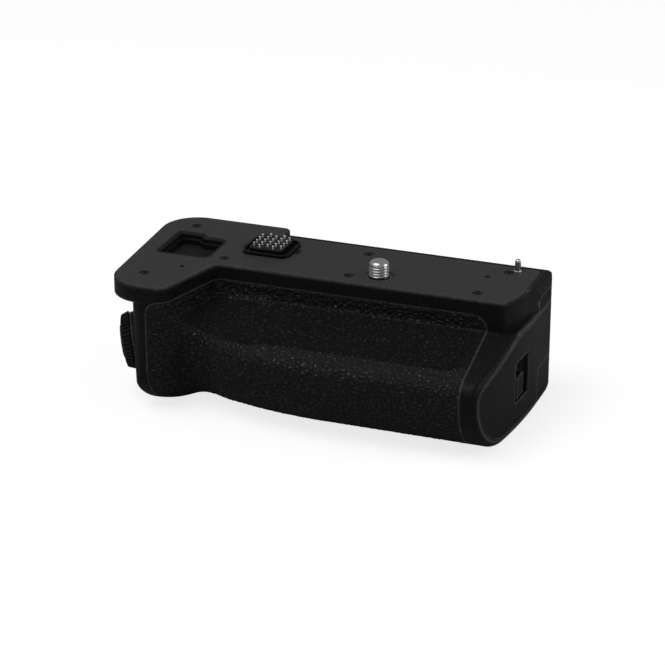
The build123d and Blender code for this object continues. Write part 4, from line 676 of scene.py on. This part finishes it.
class GRIP_OT_camera_screw(bpy.types.Operator):
    """Cut the thread of the screw that holds the camera"""

    bl_idname = "grip.camera_screw"
    bl_label = "Camera screw"

    def execute(self, context):
        s = context.scene.grip_hardware
        low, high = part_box("camera_screw")
        radius, top = 3.175 * MM, high.z
        hex_top, flange_top = 37.4 * MM, SCREW_NECK[0] * MM
        thread_end = top - 1.15 * MM

        thread_start = SCREW_NECK[1] * MM

        def thread(level, height, angle):
            phase = ((height - thread_start) / s.thread_pitch - angle / (2 * math.pi)) % 1.0
            ridge = abs(2.0 * phase - 1.0)
            groove = smooth_step(0.28, 0.86, ridge)
            fade = smooth_step(thread_start, thread_start + 0.3 * MM, height)
            fade *= 1.0 - smooth_step(thread_end - 0.35 * MM, thread_end, height)
            return level - s.thread_depth * groove * fade

        def body(work):
            neck = SCREW_NECK_RADIUS * MM
            profile = [(0.0, hex_top), (3.7 * MM, hex_top), (3.7 * MM, flange_top), (neck, flange_top),
                       (neck, thread_start - 0.1 * MM), (radius, thread_start)]
            steps = int((thread_end - thread_start) / (0.08 * MM))
            for step in range(1, steps + 1):
                profile.append((radius, thread_start + (thread_end - thread_start) * step / steps))
            dome = [(3.08, -0.98), (2.95, -0.72), (2.78, -0.5), (2.55, -0.3), (2.2, -0.14), (1.7, -0.05),
                    (1.0, 0.0), (0.0, 0.0)]
            profile += [(r * MM, top + h * MM) for r, h in dome]
            turned_ring(work, profile, 96, lambda r, h, a: thread(r, h, a) if r == radius else r)

        mesh = mesh_from("threaded_screw", body)
        hexagon = mesh_from("screw_drive", lambda work: turned_ring(
            work, [(0.0, low.z), (2.6 * MM, low.z), (2.887 * MM, low.z + 0.25 * MM), (2.887 * MM, hex_top),
                   (0.0, hex_top)], 6))
        work = bmesh.new()
        work.from_mesh(mesh)
        work.from_mesh(hexagon)
        work.to_mesh(mesh)
        work.free()
        shade(mesh, 50.0)
        as_piece("threaded_camera_screw", mesh, "camera_screw", "bright_metal", ("camera_screw",))
        return {"FINISHED"}


class GRIP_OT_dials(bpy.types.Operator):
    """Set ribs round the front and rear dials"""

    bl_idname = "grip.dials"
    bl_label = "Dials"

    def execute(self, context):
        s = context.scene.grip_hardware
        tree = rib_tree()
        body = mesh_from("front_dial_body", lambda work: turned_ring(work, scaled([
            (DIAL_BORE, 0.0), (8.9, 0.0), (8.9, 0.3), (8.75, 0.45), (7.85, 2.5), (7.8, 2.75), (7.6, 2.92),
            (7.2, DIAL_HEIGHT), (6.6, 2.85), (DIAL_BORE, 2.65), (DIAL_BORE, 0.0)]), 96))
        rib = mesh_from("front_dial_rib", lambda work: rib_bar(work, ((0.0, -0.25, 0.55), (-1.0, 0.0, 0.36)),
                                                              0.38, 2.75, 0.2))
        yaw, pitch = math.radians(DIAL_YAW), math.radians(DIAL_PITCH)
        out = Vector((-math.cos(pitch) * math.cos(yaw), -math.cos(pitch) * math.sin(yaw), -math.sin(pitch)))
        across = Vector((math.sin(yaw), -math.cos(yaw), 0.0))
        turn = Matrix((across, out.cross(across), out)).transposed().to_4x4()
        place = Matrix.Translation(Vector(DIAL_PLACE) * MM) @ turn
        self.dial("ribbed_front_dial", body, rib, tree, s.dial_ribs, 8.95, place, "front_dial")
        half = REAR_DIAL_WIDTH
        body = mesh_from("rear_dial_body", lambda work: turned_ring(work, scaled([
            (REAR_DIAL_BORE, 0.0), (6.9, 0.0), (7.35, 0.3), (7.5, 0.6), (7.5, half - 0.6), (7.35, half - 0.3),
            (6.9, half), (REAR_DIAL_BORE, half), (REAR_DIAL_BORE, 0.0)]), 96))
        rib = mesh_from("rear_dial_rib", lambda work: rib_bar(work, ((0.0, -0.1, 0.3), (0.0, 0.0, 0.3)),
                                                             0.36, half - 0.5, 0.6))
        turn = Matrix(((0, 0, 1), (1, 0, 0), (0, 1, 0))).to_4x4()
        place = Matrix.Translation(Vector(REAR_DIAL_PLACE) * MM) @ turn
        self.dial("ribbed_rear_dial", body, rib, tree, s.rear_dial_ribs, 7.65, place, "rear_dial")
        return {"FINISHED"}

    def dial(self, name, body, rib, tree, count, radius, place, node):
        helper = helper_object(name + "_rib", rib)
        mesh = grown(name, body, tree, {"Rib": helper, "Ribs": count, "Radius": radius * MM,
                                        "Finish": finish("dial_plastic")})
        bpy.data.objects.remove(helper)
        shade(mesh)
        mesh.transform(place)
        as_piece(name, mesh, node, "dial_plastic", (node,))


def rib_bar(work, lean, half_width, length, low):
    """Rounded bar along Z; lean gives its radial places at the foot and at the tip."""
    start, end = lean[0], lean[1]
    loops = []
    for share, shrink in ((0.0, 0.55), (0.06, 1.0), (0.94, 1.0), (1.0, 0.5)):
        middle = start[0] + (end[0] - start[0]) * share
        height = low + (length - low) * share
        outline = [(-0.45, -1.0), (0.1, -0.9), (0.42, -0.45), (0.5, 0.0),
                   (0.42, 0.45), (0.1, 0.9), (-0.45, 1.0)]
        loops.append([work.verts.new(((middle + x * shrink) * MM, y * half_width * shrink * MM, height * MM))
                      for x, y in outline])
    for low_loop, high_loop in zip(loops, loops[1:]):
        for index in range(len(low_loop)):
            after = (index + 1) % len(low_loop)
            work.faces.new((low_loop[index], low_loop[after], high_loop[after], high_loop[index]))
    work.faces.new(list(reversed(loops[0])))
    work.faces.new(loops[-1])


class GRIP_OT_contact_pins(bpy.types.Operator):
    """Set the sprung contact pins into their block"""

    bl_idname = "grip.contact_pins"
    bl_label = "Contact pins"

    def execute(self, context):
        s = context.scene.grip_hardware
        low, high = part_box("contact_pins")
        radius = s.pin_radius
        length = high.z - low.z
        foot = TOUCH_GAP * MM - length
        pin = mesh_from("contact_pin", lambda work: turned_ring(work, [
            (0.0, foot), (radius, foot), (radius, -1.25 * MM), (0.86 * radius, -1.15 * MM),
            (0.86 * radius, -0.34 * MM), (0.78 * radius, -0.17 * MM), (0.5 * radius, -0.05 * MM),
            (0.0, 0.0)], 18))
        helper = helper_object("contact_pin_shape", pin)
        places = []
        for column, count in enumerate(PIN_COUNTS):
            x = CONNECTOR_CENTRE[0] + (column - (len(PIN_COUNTS) - 1) / 2) * PIN_COLUMN_PITCH
            for row in range(count):
                places.append((x, CONNECTOR_CENTRE[1] + (row - (count - 1) / 2) * PIN_ROW_PITCH, high.z / MM))
        mesh = grown("sprung_contact_pins", points_mesh("pin_places", places), scatter_tree(),
                     {"Shape": helper, "Scale": 1.0, "Finish": finish("bright_metal")})
        bpy.data.objects.remove(helper)
        shade(mesh)
        as_piece("sprung_contact_pins", mesh, "contact_pins", "bright_metal", ("contact_pins",))
        return {"FINISHED"}


class GRIP_OT_stage(bpy.types.Operator):
    """Set the floor, the lamps and the camera"""

    bl_idname = "grip.stage"
    bl_label = "Stage"

    def execute(self, context):
        s = context.scene.grip_stage
        scene = context.scene
        scene.view_settings.view_transform = "Standard"
        self.floor(tuple(s.floor_colour))
        self.world(scene)
        self.lamp("overhead_lamp", (-0.35, -0.3, 1.0), 0.8, s.key_power)
        self.lamp("side_lamp", (1.0, 0.25, 0.45), 0.6, s.side_power)
        self.lamp("front_lamp", (-0.25, -1.0, 0.8), 0.8, s.fill_power)
        self.camera(scene)
        return {"FINISHED"}

    def floor(self, colour):
        mesh = bpy.data.meshes.new("studio_floor")
        reach = 6.0
        corners = [(-reach, -reach, 0.0), (reach, -reach, 0.0), (reach, reach, 0.0), (-reach, reach, 0.0)]
        mesh.from_pydata(corners, [], [(0, 1, 2, 3)])
        floor = bpy.data.objects.new("studio_floor", mesh)
        bpy.context.scene.collection.objects.link(floor)
        material = bpy.data.materials.new("studio_floor")
        material.use_nodes = True
        tree = material.node_tree
        tree.nodes.clear()
        add = nodes_in(tree)
        diffuse = add("ShaderNodeBsdfDiffuse", {"Color": (*colour, 1.0)})
        path = add("ShaderNodeLightPath")
        seen = add("ShaderNodeMath",
                   {0: path.outputs["Is Camera Ray"], 1: path.outputs["Is Transmission Ray"]}, operation="ADD")
        glossy = add("ShaderNodeMath", {0: path.outputs["Is Glossy Ray"], 1: 0.05}, operation="MULTIPLY")
        share = add("ShaderNodeMath", {0: seen.outputs[0], 1: glossy.outputs[0]}, operation="ADD")
        strength = add("ShaderNodeMath", {0: share.outputs[0], 1: 0.78}, operation="MULTIPLY")
        glow = add("ShaderNodeEmission", {"Strength": strength.outputs[0]})
        both = add("ShaderNodeAddShader", {0: diffuse.outputs[0], 1: glow.outputs[0]})
        add("ShaderNodeOutputMaterial", {"Surface": both.outputs[0]})
        mesh.materials.append(material)

    def world(self, scene):
        world = bpy.data.worlds.new("studio_world")
        scene.world = world
        world.use_nodes = True
        tree = world.node_tree
        tree.nodes.clear()
        add = nodes_in(tree)
        path = add("ShaderNodeLightPath")
        seen = add("ShaderNodeMath",
                   {0: path.outputs["Is Camera Ray"], 1: path.outputs["Is Transmission Ray"]}, operation="ADD")
        strength = add("ShaderNodeMapRange", {"Value": seen.outputs[0], "To Min": 0.22, "To Max": 1.0})
        back = add("ShaderNodeBackground", {"Color": (1.0, 1.0, 1.0, 1.0), "Strength": strength.outputs[0]})
        add("ShaderNodeOutputWorld", {"Surface": back.outputs[0]})

    def lamp(self, name, place, size, power):
        light = bpy.data.lights.new(name, "AREA")
        light.shape = "DISK"
        light.size = size
        light.energy = power
        lamp = bpy.data.objects.new(name, light)
        lamp.location = place
        lamp.rotation_euler = Vector(place).to_track_quat("Z", "Y").to_euler()
        bpy.context.scene.collection.objects.link(lamp)

    def camera(self, scene):
        lens = bpy.data.cameras.new("photo_camera")
        lens.sensor_width = SENSOR_WIDTH
        lens.lens = CAMERA_LENS
        lens.clip_start = 0.01
        camera = bpy.data.objects.new("photo_camera", lens)
        azimuth, elevation = math.radians(CAMERA_AZIMUTH), math.radians(CAMERA_ELEVATION)
        back = Vector((math.sin(azimuth) * math.cos(elevation), -math.cos(azimuth) * math.cos(elevation),
                       math.sin(elevation)))
        camera.location = CAMERA_PLACE
        camera.rotation_euler = back.to_track_quat("Z", "Y").to_euler()
        scene.collection.objects.link(camera)
        scene.camera = camera


class GRIP_PT_panel(bpy.types.Panel):
    """Sizes, colours and steps of the grip"""

    bl_idname = "GRIP_PT_panel"
    bl_label = "Camera battery grip"
    bl_space_type = "VIEW_3D"
    bl_region_type = "UI"
    bl_category = "Grip"

    def draw(self, context):
        for label, settings in SETTINGS.items():
            box = self.layout.box()
            box.label(text=settings.__doc__)
            group = getattr(context.scene, label)
            for name in settings.__annotations__:
                box.prop(group, name)
        for operator in OPERATORS:
            self.layout.operator(operator.bl_idname)


SETTINGS = {
    "grip_finish": GripFinishSettings,
    "grip_leather": GripLeatherSettings,
    "grip_hardware": GripHardwareSettings,
    "grip_stage": GripStageSettings,
}
OPERATORS = (
    GRIP_OT_finishes,
    GRIP_OT_leather,
    GRIP_OT_camera_screw,
    GRIP_OT_dials,
    GRIP_OT_contact_pins,
    GRIP_OT_stage,
)


def register():
    for settings in SETTINGS.values():
        bpy.utils.register_class(settings)
    for operator in OPERATORS:
        bpy.utils.register_class(operator)
    bpy.utils.register_class(GRIP_PT_panel)
    for label, settings in SETTINGS.items():
        setattr(bpy.types.Scene, label, PointerProperty(type=settings))


def unregister():
    for label in SETTINGS:
        delattr(bpy.types.Scene, label)
    bpy.utils.unregister_class(GRIP_PT_panel)
    for operator in reversed(OPERATORS):
        bpy.utils.unregister_class(operator)
    for settings in SETTINGS.values():
        bpy.utils.unregister_class(settings)


def main():
    register()
    bpy.ops.grip.finishes()
    bpy.ops.grip.leather()
    bpy.ops.grip.camera_screw()
    bpy.ops.grip.dials()
    bpy.ops.grip.contact_pins()
    bpy.ops.grip.stage()


if __name__ == "__main__":
    main()
